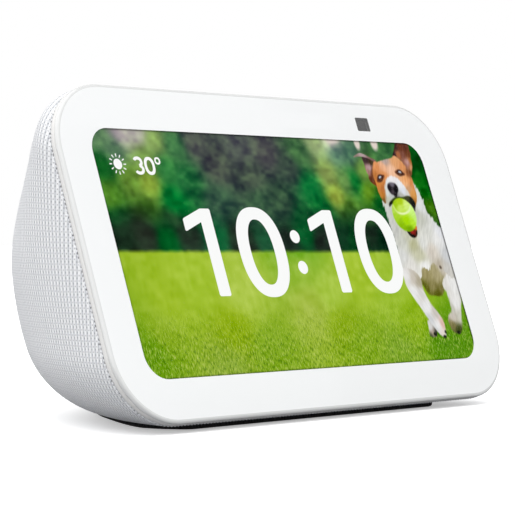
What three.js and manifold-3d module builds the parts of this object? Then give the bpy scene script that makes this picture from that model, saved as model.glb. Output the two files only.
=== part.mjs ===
// A compact smart display: a tilted glass front in a plastic ring, a domed housing in a knitted cover,
// a rubber foot, three press buttons, a camera shutter slide and a rear-firing loudspeaker.
// Millimetres. +Z is up, the screen faces -Y, and the origin is on the table under the middle.
import * as THREE from "three";
import { mergeVertices } from "three/addons/utils/BufferGeometryUtils.js";
import Module from "manifold-3d";

const wasm = await Module();
wasm.setup();

// Driving dimensions
const WIDTH = 147;
const DEPTH = 91;
const HEIGHT = 82;
const TILT = THREE.MathUtils.degToRad(19.92); // the face leans back by this much
const FACE_TALL = 84.6; // the face's height, measured up its slope
const FACE_CORNER = 17.3;
const GAP = 0.3; // between pieces that touch

const GLASS_THICK = 1.1;
const GLASS_ROUND = 0.5;
const SCREEN_WIDTH = 125.1;
const SCREEN_TALL = 62.5;
const SCREEN_DROP = 0.4; // the visible screen sits this much below the face's middle

const RING_DEEP = 2.5; // from the glass's front to the ring's back
const BODY_START = RING_DEEP + GAP; // where the knitted cover begins
const BODY_BOTTOM = 2; // the cover's flat underside stands this high
const FABRIC_THICK = 0.8;
const WALL = 1.8; // the inner housing's wall
const HOUSING_INSET = FABRIC_THICK + GAP;

const PANEL_WIDTH = 100; // the control strip on top
const PANEL_DEEP = 11;
const PANEL_BACK = 9.7; // its middle, behind the glass's front
const BUTTON_X = { mute: -38, volume_down: -18, volume_up: 0 };
const MICROPHONE_X = { left: -28, right: 13 };
const SHUTTER_TRAVEL = 7.6;

const CAMERA_X = 40.1;
const CAMERA_UP = 35.7; // above the face's middle
const SPEAKER_Z = 41;
const PORT_Z = 16;

// The face frame: x to the right, y up the slope, z out of the glass. Depths count back from the glass.
const sinTilt = Math.sin(TILT);
const cosTilt = Math.cos(TILT);
const faceReach = FACE_TALL / 2 - GLASS_ROUND;
const FACE_Z = HEIGHT - GLASS_ROUND + GLASS_ROUND * sinTilt - faceReach * cosTilt;
const FACE_Y = GLASS_ROUND - DEPTH / 2 - GLASS_ROUND * cosTilt + faceReach * sinTilt;

const part = new THREE.Group();
const face = new THREE.Group();
face.position.set(0, FACE_Y, FACE_Z);
face.rotation.x = Math.PI / 2 - TILT;
face.updateMatrix();
part.add(face);

// Materials
const finish = (color, roughness, metalness = 0) =>
  new THREE.MeshStandardMaterial({ color, roughness, metalness });
const MATERIALS = {
  glass: finish(0xf4f5f4, 0.08),
  white_plastic: finish(0xeeeeed, 0.35),
  inner_plastic: finish(0x2b2c2e, 0.6),
  knit: finish(0xdcdee2, 0.95),
  rubber: finish(0x101010, 0.85),
  screen: finish(0x18201a, 0.15),
  steel: finish(0xb4b6b8, 0.35, 1),
  aluminium: finish(0xc8cacc, 0.4, 1),
  board: finish(0x1d5a38, 0.55),
  chip: finish(0x17181a, 0.5),
  copper: finish(0xb8703a, 0.35, 1),
  foam: finish(0x1e1e20, 0.95),
  paper: finish(0x2a2724, 0.9),
  ribbon: finish(0xb06a20, 0.5),
  lens: finish(0x0a0c12, 0.05),
};

// Solids and meshes
function toSolid(geometry) {
  const loose = geometry.index ? geometry.toNonIndexed() : geometry;
  const bare = new THREE.BufferGeometry().setAttribute("position", loose.getAttribute("position"));
  const merged = mergeVertices(bare, 1e-4);
  const triVerts = new Uint32Array(merged.index.array);
  const vertProperties = merged.getAttribute("position").array;
  return new wasm.Manifold(new wasm.Mesh({ numProp: 3, vertProperties, triVerts }));
}

function toGeometry(solid) {
  const { vertProperties, triVerts } = solid.getMesh();
  const geometry = new THREE.BufferGeometry();
  geometry.setAttribute("position", new THREE.BufferAttribute(new Float32Array(vertProperties), 3));
  geometry.setIndex(new THREE.BufferAttribute(new Uint32Array(triVerts), 1));
  const loose = geometry.toNonIndexed();
  loose.computeVertexNormals();
  return loose;
}

const cut = (solid, ...tools) => tools.reduce((left, tool) => left.subtract(toSolid(tool)), solid);
const join = (...pieces) => pieces.map(toSolid).reduce((all, piece) => all.add(piece));

function add(parent, name, shape, material) {
  const geometry = shape.isBufferGeometry ? shape : toGeometry(shape);
  const mesh = new THREE.Mesh(geometry, material.clone());
  mesh.name = name;
  parent.add(mesh);
}

// Simple shapes. In the face frame a block or rod is given by its depths behind the glass's front.
const toWorld = (geometry) => geometry.applyMatrix4(face.matrix);

function block(x0, x1, y0, y1, z0, z1) {
  const geometry = new THREE.BoxGeometry(x1 - x0, y1 - y0, z1 - z0);
  return geometry.translate((x0 + x1) / 2, (y0 + y1) / 2, (z0 + z1) / 2);
}

const faceBlock = (x0, x1, up0, up1, back0, back1) => block(x0, x1, up0, up1, -back1, -back0);

function rodAlongY(radius, y0, y1, x, z, sides = 16) {
  return new THREE.CylinderGeometry(radius, radius, y1 - y0, sides).translate(x, (y0 + y1) / 2, z);
}

function faceRod(radius, back0, back1, x, up, sides = 16) {
  const rod = new THREE.CylinderGeometry(radius, radius, back1 - back0, sides).rotateX(Math.PI / 2);
  return rod.translate(x, up, -(back0 + back1) / 2);
}

function roundedShape(width, tall, corner, x = 0, y = 0) {
  const shape = new THREE.Shape();
  const right = x + width / 2 - corner;
  const left = x - width / 2 + corner;
  const top = y + tall / 2 - corner;
  const low = y - tall / 2 + corner;
  shape.absarc(right, top, corner, 0, Math.PI / 2);
  shape.absarc(left, top, corner, Math.PI / 2, Math.PI);
  shape.absarc(left, low, corner, Math.PI, Math.PI * 1.5);
  shape.absarc(right, low, corner, Math.PI * 1.5, Math.PI * 2);
  return shape;
}

const faceShape = (inset) =>
  roundedShape(WIDTH - 2 * inset, FACE_TALL - 2 * inset, FACE_CORNER - inset);

function extrude(shape, low, high, curveSegments = 5) {
  const geometry = new THREE.ExtrudeGeometry(shape, {
    depth: high - low,
    bevelEnabled: false,
    curveSegments,
  });
  return geometry.translate(0, 0, low);
}

const facePlate = (shape, back0, back1, segments) => extrude(shape, -back1, -back0, segments);

// A pill standing on the top of the body: its outline runs along x and back from the glass.
function topPill(width, deep, x, up0, up1, segments = 6) {
  const outline = roundedShape(width, deep, deep / 2, x, PANEL_BACK);
  return extrude(outline, up0, up1, segments).rotateX(-Math.PI / 2);
}

const lathe = (profile, sides = 20) =>
  new THREE.LatheGeometry(
    profile.map(([radius, height]) => new THREE.Vector2(radius, height)),
    sides,
  );

// A pan-head screw along +Y, with its head's underside at height 0.
function screw(headRadius, headTall, shankRadius, shankLong) {
  return lathe(
    [
      [0, -shankLong],
      [shankRadius, -shankLong],
      [shankRadius, 0],
      [headRadius, 0],
      [headRadius, headTall * 0.6],
      [headRadius * 0.7, headTall],
      [0, headTall],
    ],
    8,
  );
}

// The body: a dome behind the face, cut flat below. Each level is half a superellipse, from the
// ring's left edge round the back to its right edge, and the side profile sets how far back it goes.
const faceUpAt = (z) => (z - FACE_Z + BODY_START * sinTilt) / cosTilt;
const bodyFrontAt = (z) => FACE_Y + BODY_START * cosTilt + faceUpAt(z) * sinTilt;
const BODY_TOP = FACE_Z - BODY_START * sinTilt + (FACE_TALL / 2) * cosTilt;
const WIDEST_Z = 36; // the level of the rearmost point
const FLAT_REAR = 12; // the flat underside's rear end

function halfWidthAt(z) {
  const intoCorner = Math.abs(faceUpAt(z)) - (FACE_TALL / 2 - FACE_CORNER);
  const reach = Math.min(Math.max(intoCorner, 0), FACE_CORNER);
  return WIDTH / 2 - FACE_CORNER + Math.sqrt(FACE_CORNER ** 2 - reach ** 2);
}

const point = (y, z) => new THREE.Vector2(y, z);
const topFront = bodyFrontAt(BODY_TOP);
const upperProfile = new THREE.CubicBezierCurve(
  point(topFront, BODY_TOP),
  point(topFront + 41, BODY_TOP - 12.3),
  point(DEPTH / 2, WIDEST_Z + 11.8),
  point(DEPTH / 2, WIDEST_Z),
);
const lowerProfile = new THREE.CubicBezierCurve(
  point(DEPTH / 2, WIDEST_Z),
  point(DEPTH / 2, WIDEST_Z - 11.5),
  point(FLAT_REAR + 26.5, BODY_BOTTOM),
  point(FLAT_REAR, BODY_BOTTOM),
);

// A point of the body's surface: down runs 0 to 2 over the two profiles, round -90 to 90 degrees.
function bodyPoint(down, round) {
  const profile = down < 1 ? upperProfile.getPoint(down) : lowerProfile.getPoint(down - 1);
  const z = profile.y;
  const front = bodyFrontAt(z);
  const high = Math.max((z - WIDEST_Z) / (BODY_TOP - WIDEST_Z), 0);
  const power = 2 / (1.8 + 2.1 * high ** 10); // squarer close to the top
  const side = Math.sign(round) * Math.abs(Math.sin(round)) ** power;
  const rear = Math.max(Math.cos(round), 0) ** power;
  return new THREE.Vector3(halfWidthAt(z) * side, front + (profile.x - front) * rear, z);
}

function bodyNormal(down, round) {
  const t = Math.min(Math.max(down, 0.01), 1.99);
  const a = Math.min(Math.max(round, -1.55), 1.55);
  const across = bodyPoint(t, a + 0.01).sub(bodyPoint(t, a - 0.01));
  const along = bodyPoint(t + 0.008, a).sub(bodyPoint(t - 0.008, a));
  return across.cross(along).normalize();
}

const UPPER_ROWS = 10;
const LOWER_ROWS = 5;
const COLUMNS = 20;

// The body as a closed solid, shrunk by inset, with its open front carried on by forward.
function dome(inset, forward = 0) {
  const rows = [];
  for (let i = 0; i <= UPPER_ROWS; i += 1) {
    rows.push((i / UPPER_ROWS) ** 1.5);
  }
  for (let i = 1; i <= LOWER_ROWS; i += 1) {
    rows.push(1 + i / LOWER_ROWS);
  }
  const points = [];
  for (const down of rows) {
    for (let j = 0; j <= COLUMNS; j += 1) {
      const round = Math.PI * (j / COLUMNS - 0.5);
      const moved = bodyPoint(down, round).addScaledVector(bodyNormal(down, round), -inset);
      moved.z = Math.max(moved.z, BODY_BOTTOM + inset);
      points.push(moved);
    }
  }
  const last = rows.length - 1;
  const at = (i, j) => i * (COLUMNS + 1) + j;
  const triangles = [];
  for (let i = 0; i < last; i += 1) {
    for (let j = 0; j < COLUMNS; j += 1) {
      triangles.push([at(i, j), at(i, j + 1), at(i + 1, j)]);
      triangles.push([at(i, j + 1), at(i + 1, j + 1), at(i + 1, j)]);
    }
  }
  const middleOf = (ring) => {
    const middle = new THREE.Vector3();
    ring.forEach((k) => middle.add(points[k]));
    return points.push(middle.divideScalar(ring.length)) - 1;
  };
  const fan = (ring) => {
    const middle = middleOf(ring);
    ring.forEach((k, n) => triangles.push([middle, k, ring[(n + 1) % ring.length]]));
  };
  const under = [];
  for (let j = 0; j <= COLUMNS; j += 1) {
    under.push(at(last, j));
  }
  fan(under);
  const edge = [];
  for (let j = COLUMNS; j > 0; j -= 1) {
    edge.push(at(0, j));
  }
  for (let i = 0; i <= last; i += 1) {
    edge.push(at(i, 0));
  }
  for (let i = last; i > 0; i -= 1) {
    edge.push(at(i, COLUMNS));
  }
  if (forward > 0) {
    const outward = new THREE.Vector3(0, -cosTilt, sinTilt).multiplyScalar(forward);
    const moved = edge.map((k) => points.push(points[k].clone().add(outward)) - 1);
    edge.forEach((k, n) => {
      const next = (n + 1) % edge.length;
      triangles.push([k, edge[next], moved[next]], [k, moved[next], moved[n]]);
    });
    fan(moved);
  } else {
    fan(edge);
  }
  const corners = triangles.flat().flatMap((k) => points[k].toArray());
  const position = new THREE.Float32BufferAttribute(corners, 3);
  return new THREE.BufferGeometry().setAttribute("position", position);
}

// Glass, ring and screen
function frontGlass() {
  const shape = faceShape(0);
  const geometry = new THREE.ExtrudeGeometry(shape, {
    depth: GLASS_THICK - 2 * GLASS_ROUND,
    bevelEnabled: true,
    bevelThickness: GLASS_ROUND,
    bevelSize: GLASS_ROUND,
    bevelOffset: -GLASS_ROUND,
    bevelSegments: 2,
    curveSegments: 8,
  });
  return toSolid(geometry.translate(0, 0, GLASS_ROUND - GLASS_THICK));
}

const SKIRT_INSET = 4.2;
const SKIRT_THICK = 1.6;
const SKIRT_DEEP = 4;
const SHUTTER_OPEN_X = CAMERA_X - SHUTTER_TRAVEL;
const BLADE_WIDTH = 8.4;

// The space that the shutter's blade and arm sweep, up to a height above the face's middle.
function shutterSpace(up, back) {
  const margin = BLADE_WIDTH / 2 + 0.6;
  return faceBlock(SHUTTER_OPEN_X - margin, CAMERA_X + margin, 30, up, -1, back);
}

function frontRing() {
  const inner = faceShape(SKIRT_INSET + SKIRT_THICK);
  const rim = facePlate(faceShape(0), GLASS_THICK + GAP, RING_DEEP, 8);
  const skirt = facePlate(faceShape(SKIRT_INSET), RING_DEEP - 0.2, SKIRT_DEEP);
  return cut(join(rim, skirt), facePlate(inner, -1, 9), shutterSpace(39.9, 9));
}

const PANEL_FRONT = GLASS_THICK + GAP;
const PANEL_THICK = 1.5;
const BACKLIGHT_THICK = 2;
const MODULE_WIDTH = SCREEN_WIDTH + 5;
const MODULE_TOP = SCREEN_TALL / 2 - SCREEN_DROP + 1.2;
const MODULE_LOW = -SCREEN_TALL / 2 - SCREEN_DROP - 2.5;
const MODULE_CORNER = 7;
const moduleShape = () =>
  roundedShape(
    MODULE_WIDTH,
    MODULE_TOP - MODULE_LOW,
    MODULE_CORNER,
    0,
    (MODULE_TOP + MODULE_LOW) / 2,
  );
const BACKLIGHT_FRONT = PANEL_FRONT + PANEL_THICK + GAP;
const TRAY_FRONT = BACKLIGHT_FRONT + BACKLIGHT_THICK + GAP;
const TRAY_THICK = 1.5;
const TRAY_BACK = TRAY_FRONT + TRAY_THICK;

// The main board stands off the tray on four posts, each with a screw.
const BOARD_FRONT = TRAY_BACK + 2.5;
const BOARD_THICK = 1.2;
const BOARD_BACK = BOARD_FRONT + BOARD_THICK;
const BOARD_TOP = 17;
const BOARD_LOW = -29;
const BOARD_HALF = 55;
const POST_PLACES = [-1, 1].flatMap((side) => [-26, 14].map((up) => [side * 51, up]));
const SCREW_HOLE = 1.3;
const FLEX_UP = -32.3;

function displayTray() {
  const low = -FACE_TALL / 2 + SKIRT_INSET + SKIRT_THICK + 0.5;
  const middle = (MODULE_TOP + low) / 2;
  const outline = roundedShape(WIDTH - 12.6, MODULE_TOP - low, 8, 0, middle);
  const plate = facePlate(outline, TRAY_FRONT, TRAY_BACK);
  const posts = POST_PLACES.map(([x, up]) =>
    faceRod(2.6, TRAY_BACK - 0.2, BOARD_FRONT - GAP, x, up, 14),
  );
  const holes = POST_PLACES.map(([x, up]) => faceRod(SCREW_HOLE, 0, 20, x, up, 10));
  const flexSlot = faceBlock(-9, 9, FLEX_UP - 0.6, FLEX_UP + 1, 0, 20);
  return cut(join(plate, ...posts), ...holes, flexSlot);
}

function mainBoard() {
  const board = faceBlock(-BOARD_HALF, BOARD_HALF, BOARD_LOW, BOARD_TOP, BOARD_FRONT, BOARD_BACK);
  const holes = POST_PLACES.map(([x, up]) => faceRod(SCREW_HOLE, 0, 20, x, up, 10));
  return cut(toSolid(board), ...holes);
}

// The ribbon comes out through the tray's slot and turns up over the back of the main board.
function displayFlex() {
  const deep = BOARD_BACK + GAP + 0.4;
  const run = faceBlock(-8, 8, FLEX_UP, FLEX_UP + 0.4, TRAY_FRONT, deep);
  const tail = faceBlock(-8, 8, FLEX_UP, BOARD_LOW + 4, deep - 0.4, deep);
  return join(run, tail);
}

add(face, "front_glass", frontGlass(), MATERIALS.glass);
add(face, "front_ring", frontRing(), MATERIALS.white_plastic);
const screenStack = (front, thick) => facePlate(moduleShape(), front, front + thick, 3);
add(face, "display_panel", screenStack(PANEL_FRONT, PANEL_THICK), MATERIALS.screen);
add(face, "backlight_unit", screenStack(BACKLIGHT_FRONT, BACKLIGHT_THICK), MATERIALS.steel);
add(face, "display_tray", displayTray(), MATERIALS.inner_plastic);
add(face, "display_flex", displayFlex(), MATERIALS.ribbon);
add(face, "main_board", mainBoard(), MATERIALS.board);

const canFront = BOARD_BACK + GAP;
const canBack = canFront + 2.2;
add(face, "shield_can", faceBlock(-20, 14, -18, 8, canFront, canBack), MATERIALS.steel);
const spreaderFront = canBack + GAP;
const spreader = faceBlock(-32, 26, -22, 12, spreaderFront, spreaderFront + 1.2);
add(face, "heat_spreader", spreader, MATERIALS.aluminium);

POST_PLACES.forEach(([x, up], n) => {
  const head = screw(2, 1.2, 1, BOARD_BACK - TRAY_FRONT).rotateX(-Math.PI / 2);
  head.translate(x, up, -(BOARD_BACK + GAP));
  add(face, `board_screw_${n + 1}`, head, MATERIALS.steel);
});

for (const [side, name] of [[-1, "antenna_left"], [1, "antenna_right"]]) {
  const board = faceBlock(60 * side - 4, 60 * side + 4, 14, 30, 9, 9.8);
  add(face, name, board, MATERIALS.board);
}

// Camera, with the shutter that slides across its window
const CAMERA_FRONT = 2.4;

function cameraModule() {
  const barrel = faceRod(2.5, CAMERA_FRONT, 3.4, CAMERA_X, CAMERA_UP, 24);
  const up = [CAMERA_UP - 2.7, CAMERA_UP + 2.7];
  const body = faceBlock(CAMERA_X - 3.5, CAMERA_X + 3.5, ...up, 3.2, 7);
  return cut(join(barrel, body), faceRod(2.1, 0, CAMERA_FRONT + 0.8, CAMERA_X, CAMERA_UP, 24));
}

function shutterSlider() {
  const x = SHUTTER_OPEN_X;
  const halfBlade = BLADE_WIDTH / 2;
  const blade = faceBlock(x - halfBlade, x + halfBlade, 32.8, 39.6, 1.5, 1.9);
  const arm = faceBlock(x - 2.5, x + 2.5, 38.9, 39.6, 1.5, PANEL_BACK + 1.2);
  const stem = faceBlock(x - 1.5, x + 1.5, 38.9, 43.2, PANEL_BACK - 1.2, PANEL_BACK + 1.2);
  const knob = topPill(7.5, 4.6, x, 43, 43.9, 4);
  const ridges = [-1.5, 0, 1.5].map((step) =>
    faceBlock(x + step - 0.3, x + step + 0.3, 43.7, 44.15, PANEL_BACK - 1.5, PANEL_BACK + 1.5),
  );
  return join(blade, arm, stem, knob, ...ridges);
}

add(face, "camera_module", cameraModule(), MATERIALS.chip);
const lens = lathe([[0, 0], [1.8, 0], [1.8, 0.3], [1.3, 0.5], [0, 0.6]], 20).rotateX(Math.PI / 2);
add(face, "camera_lens", lens.translate(CAMERA_X, CAMERA_UP, -CAMERA_FRONT - 0.5), MATERIALS.lens);
const bracket = faceBlock(CAMERA_X - 6, CAMERA_X + 6, 32.9, 38.4, 7.3, 8.3);
add(face, "camera_bracket", bracket, MATERIALS.steel);
add(face, "shutter_slider", shutterSlider(), MATERIALS.white_plastic);

// Control strip with three press buttons over their switches, and two microphones
const PANEL_TOP = FACE_TALL / 2 + 0.4;
const PANEL_UNDER = PANEL_TOP - 1.3;
const BUTTON_WIDTH = 12;
const BUTTON_DEEP = 5.6;
const BUTTON_TRAVEL = 0.7;
const SWITCH_BOARD_UP = 36.2;

function controlPanel() {
  const strip = topPill(PANEL_WIDTH, PANEL_DEEP, 0, PANEL_UNDER, PANEL_TOP);
  const wells = Object.values(BUTTON_X).map((x) =>
    topPill(BUTTON_WIDTH + 2 * GAP, BUTTON_DEEP + 2 * GAP, x, 40, 45, 4),
  );
  const middle = SHUTTER_OPEN_X + SHUTTER_TRAVEL / 2;
  const slot = topPill(SHUTTER_TRAVEL + 5.4, 3.2, middle, 40, 45, 3);
  const pinholes = Object.values(MICROPHONE_X).map((x) => topPill(1, 0.999, x, 40, 45, 2));
  return cut(toSolid(strip), ...wells, slot, ...pinholes);
}

function pressButton(x) {
  const top = PANEL_TOP + BUTTON_TRAVEL;
  const cap = topPill(BUTTON_WIDTH, BUTTON_DEEP, x, 40.8, top, 5);
  const flange = topPill(BUTTON_WIDTH + 2, BUTTON_DEEP + 2, x, 40.2, 41, 3);
  const plunger = topPill(3, 2.999, x, 39.9, 40.3, 2);
  return join(cap, flange, plunger);
}

function tactSwitch(x) {
  const low = SWITCH_BOARD_UP + 1 + GAP;
  const body = faceBlock(x - 2.2, x + 2.2, low, low + 1.1, PANEL_BACK - 2.2, PANEL_BACK + 2.2);
  return join(body, topPill(2, 1.999, x, low + 1, low + 1.5, 2));
}

add(face, "control_panel", controlPanel(), MATERIALS.white_plastic);
const switchBoard = [-48, 24, SWITCH_BOARD_UP, SWITCH_BOARD_UP + 1, PANEL_BACK - 4, PANEL_BACK + 4];
add(face, "switch_board", faceBlock(...switchBoard), MATERIALS.board);
for (const [name, x] of Object.entries(BUTTON_X)) {
  add(face, `${name}_button`, pressButton(x), MATERIALS.white_plastic);
  add(face, `${name}_switch`, tactSwitch(x), MATERIALS.chip);
}
for (const [side, x] of Object.entries(MICROPHONE_X)) {
  const low = SWITCH_BOARD_UP + 1 + GAP;
  const back = [PANEL_BACK - 1.3, PANEL_BACK + 1.3];
  add(face, `microphone_${side}`, faceBlock(x - 1.8, x + 1.8, low, low + 1, ...back), MATERIALS.steel);
}

// Foot and base plate. The foot's outline is straight in front and narrows to a round rear.
function footShape(inset) {
  const front = 7.1 - DEPTH / 2 + inset;
  const rear = 20.4 - inset;
  const wide = 51.1 - inset;
  const taper = 37.2 - inset * 0.87;
  const taperY = 1.8 - inset * 0.3;
  const shape = new THREE.Shape();
  shape.moveTo(-(wide - 6.1), front);
  shape.lineTo(wide - 6.1, front);
  shape.bezierCurveTo(wide - 3.9, front, wide - 0.5, front + 4.4, wide, front + 10.9);
  shape.bezierCurveTo(wide, front + 16.4, taper + 3.3, taperY - 5.8, taper, taperY);
  shape.bezierCurveTo(taper - 6.2, taperY + 10.1, taper - 13.2, rear, 0, rear);
  shape.bezierCurveTo(13.2 - taper, rear, 6.2 - taper, taperY + 10.1, -taper, taperY);
  shape.bezierCurveTo(-taper - 3.3, taperY - 5.8, -wide, front + 16.4, -wide, front + 10.9);
  shape.bezierCurveTo(0.5 - wide, front + 4.4, 3.9 - wide, front, 6.1 - wide, front);
  return shape;
}

const FOOT_TOP = BODY_BOTTOM - GAP;
const FOOT_STEP = 4; // the foot's raised middle fits a hole in the cover
const FLOOR_LOW = BODY_BOTTOM + HOUSING_INSET;
const FLOOR_TOP = FLOOR_LOW + WALL;
const BASE_STEP = 9; // the base plate's plug, inside the foot's outline
const BASE_FLANGE = 4.5;
const BASE_SCREWS = [[-41.4, -30.2], [41.4, -30.2], [-26.9, 6.5], [26.9, 6.5]];
const BASE_HEAD_WELL = 1.05; // how far the base screws' heads sit up in the floor

function rubberFoot() {
  const tread = extrude(footShape(0), 0, FOOT_TOP);
  const middle = extrude(footShape(FOOT_STEP), FOOT_TOP - 0.2, FLOOR_LOW - GAP);
  return join(tread, middle);
}

const standUp = (geometry) => geometry.rotateX(Math.PI / 2);
const uprightRod = (radius, low, high, x, y) =>
  standUp(rodAlongY(radius, low, high, 0, 0, 12)).translate(x, y, 0);

// The base plate fills the housing's floor and laps over its edge inside.
function basePlate() {
  const plug = extrude(footShape(BASE_STEP), FLOOR_LOW, FLOOR_TOP + GAP + 0.2, 5);
  const flange = extrude(footShape(BASE_FLANGE), FLOOR_TOP + GAP, FLOOR_TOP + GAP + 1.5, 5);
  const holes = BASE_SCREWS.map(([x, y]) => uprightRod(1.1, 0, 9, x, y));
  return cut(join(plug, flange), ...holes);
}

add(part, "rubber_foot", rubberFoot(), MATERIALS.rubber);
add(part, "base_plate", basePlate(), MATERIALS.inner_plastic);
BASE_SCREWS.forEach(([x, y], n) => {
  const pin = screw(1.9, 0.8, 0.8, 3).rotateX(-Math.PI / 2);
  pin.translate(x, y, FLOOR_LOW + BASE_HEAD_WELL);
  add(part, `base_screw_${n + 1}`, pin, MATERIALS.steel);
});

// Power inlet: a trim tube flush with the cover, and a jack with its pin set back inside it
const PORT_RADIUS = 6.5;
const PORT_BORE = 4.3;
const JACK_REAR = 31.1;
const JACK_BORE = 2.8;

function portTrim() {
  const tube = toSolid(rodAlongY(PORT_RADIUS, JACK_REAR + GAP, 50, 0, PORT_Z, 28));
  return cut(tube, rodAlongY(PORT_BORE, 20, 60, 0, PORT_Z, 28)).intersect(toSolid(dome(0)));
}

function powerJack() {
  const body = toSolid(block(-4.5, 4.5, JACK_REAR - 11.5, JACK_REAR, PORT_Z - 4.5, PORT_Z + 4.5));
  return cut(body, rodAlongY(JACK_BORE, JACK_REAR - 8.5, JACK_REAR + 1, 0, PORT_Z, 20));
}

add(part, "port_trim", portTrim(), MATERIALS.white_plastic);
add(part, "power_jack", powerJack(), MATERIALS.inner_plastic);
const contact = rodAlongY(0.85, JACK_REAR - 8.2, JACK_REAR - 1, 0, PORT_Z, 12);
add(part, "jack_pin", contact, MATERIALS.copper);
const jackBoard = block(-9, 9, 17.5, JACK_REAR - 3.8, PORT_Z - 6, PORT_Z - 4.8);
add(part, "jack_board", jackBoard, MATERIALS.board);

// Housing and cover
const portHole = () => rodAlongY(PORT_RADIUS + GAP, 20, 60, 0, PORT_Z, 28);
const inFront = () => toWorld(faceBlock(-100, 100, -100, 100, -40, BODY_START));
const panelHole = (up) =>
  toWorld(topPill(PANEL_WIDTH + 2 * GAP, PANEL_DEEP + 2 * GAP, 0, up, 50));

// Slots behind the cover let the loudspeaker's sound out.
function soundSlots() {
  return [-15, -10, -5, 0, 5, 10, 15].map((step) => {
    const half = Math.sqrt(19 ** 2 - step ** 2);
    return block(-half, half, 15, 60, SPEAKER_Z + step - 1.3, SPEAKER_Z + step + 1.3);
  });
}

function rearHousing() {
  const shell = cut(toSolid(dome(HOUSING_INSET, 6)), dome(HOUSING_INSET + WALL, 9), inFront());
  const floorHole = extrude(footShape(BASE_STEP - GAP), 0, 9, 5);
  const screwHoles = BASE_SCREWS.map(([x, y]) => uprightRod(1.1, 0, 9, x, y));
  const flangeSpace = extrude(footShape(BASE_FLANGE - GAP), FLOOR_TOP, FLOOR_TOP + 4, 5);
  const headWells = BASE_SCREWS.map(([x, y]) =>
    uprightRod(2.2, 0, FLOOR_LOW + BASE_HEAD_WELL, x, y),
  );
  const half = PANEL_WIDTH / 2 - 2.5;
  const wellBack = [PANEL_BACK - 4.5, PANEL_BACK + 4.5];
  const controlWell = toWorld(faceBlock(-half, half, 36, 50, ...wellBack));
  const armSpace = toWorld(shutterSpace(40.2, PANEL_BACK));
  const skirtSpace = toWorld(facePlate(faceShape(SKIRT_INSET - GAP), 0, SKIRT_DEEP + GAP));
  const inFloor = [floorHole, flangeSpace, ...screwHoles, ...headWells];
  const open = [...inFloor, controlWell, armSpace, skirtSpace];
  return cut(shell, ...open, panelHole(PANEL_UNDER - GAP), portHole(), ...soundSlots());
}

function fabricCover() {
  const shell = cut(toSolid(dome(0)), dome(FABRIC_THICK, 6));
  const footHole = extrude(footShape(FOOT_STEP - GAP), -1, 4);
  return cut(shell, footHole, panelHole(36), portHole());
}

add(part, "rear_housing", rearHousing(), MATERIALS.inner_plastic);
add(part, "fabric_cover", fabricCover(), MATERIALS.knit);

// Loudspeaker, firing to the rear. Its pieces turn about an axis along +Y.
const BOX_FRONT = -6;
const BAFFLE_FRONT = 12;
const BAFFLE_REAR = 14;
const SPEAKER_SCREWS = [[-18.9, -16], [-18.9, 16], [18.9, -16], [18.9, 16]];
const onAxis = (geometry) => geometry.translate(0, 0, SPEAKER_Z);

// A plate across the loudspeaker's axis.
function boxPlate(inset, front, rear) {
  const outline = roundedShape(54 - 2 * inset, 46 - 2 * inset, 20 - inset);
  return onAxis(standUp(extrude(outline, -rear, -front, 6)));
}

function speakerEnclosure() {
  const rear = BAFFLE_FRONT - GAP;
  const shell = toSolid(boxPlate(0, BOX_FRONT, rear)).subtract(
    toSolid(boxPlate(1.6, BOX_FRONT + 1.6, rear + 1)),
  );
  const posts = SPEAKER_SCREWS.map(([x, up]) =>
    rodAlongY(2.2, BOX_FRONT + 0.5, rear, x, SPEAKER_Z + up, 12),
  );
  const bores = SPEAKER_SCREWS.map(([x, up]) =>
    rodAlongY(SCREW_HOLE, 4, 20, x, SPEAKER_Z + up, 10),
  );
  return cut(shell.add(join(...posts)), ...bores);
}

function speakerBaffle() {
  const holes = SPEAKER_SCREWS.map(([x, up]) =>
    rodAlongY(SCREW_HOLE, 4, 20, x, SPEAKER_Z + up, 10),
  );
  const mouth = rodAlongY(19.8, 4, 20, 0, SPEAKER_Z, 36);
  return cut(toSolid(boxPlate(0, BAFFLE_FRONT, BAFFLE_REAR)), mouth, ...holes);
}

const LOUDSPEAKER = {
  speaker_basket: [
    [[6, 4.2], [11, 4.2], [19.4, 14.1], [19.4, 14.3], [22, 14.3], [22, 15.3], [19, 15.3],
      [18.6, 14.3], [10.4, 5], [6, 5], [6, 4.2]],
    MATERIALS.inner_plastic,
  ],
  speaker_magnet: [[[5.6, -1.5], [12, -1.5], [12, 3.9], [5.6, 3.9], [5.6, -1.5]], MATERIALS.chip],
  speaker_yoke: [[[0, -3.3], [12, -3.3], [12, -1.8], [4.2, -1.8], [4.2, 4.6], [0, 4.6]], MATERIALS.steel],
  voice_coil: [[[4.6, 1.5], [5.2, 1.5], [5.2, 8.2], [4.6, 8.2], [4.6, 1.5]], MATERIALS.copper],
  speaker_cone: [
    [[5, 8.6], [5.8, 8.6], [11.5, 10.9], [16, 13.4], [16, 14], [11.3, 11.5], [5.6, 9.3], [5, 9.3],
      [5, 8.6]],
    MATERIALS.paper,
  ],
  dust_cap: [[[0, 11.6], [3.4, 10.9], [5.6, 9.6], [6.3, 9.9], [3.7, 11.5], [0, 12.3]], MATERIALS.paper],
  speaker_surround: [
    [[16.4, 14.4], [16.8, 14.4], [17, 15.2], [17.6, 15.6], [18.2, 15.2], [18.4, 14.7], [18.7, 14.9],
      [18.5, 15.6], [17.6, 16.2], [16.7, 15.7], [16.4, 14.4]],
    MATERIALS.rubber,
  ],
  speaker_gasket: [[[19.2, 15.6], [22, 15.6], [22, 17.4], [19.2, 17.4], [19.2, 15.6]], MATERIALS.foam],
};

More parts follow.
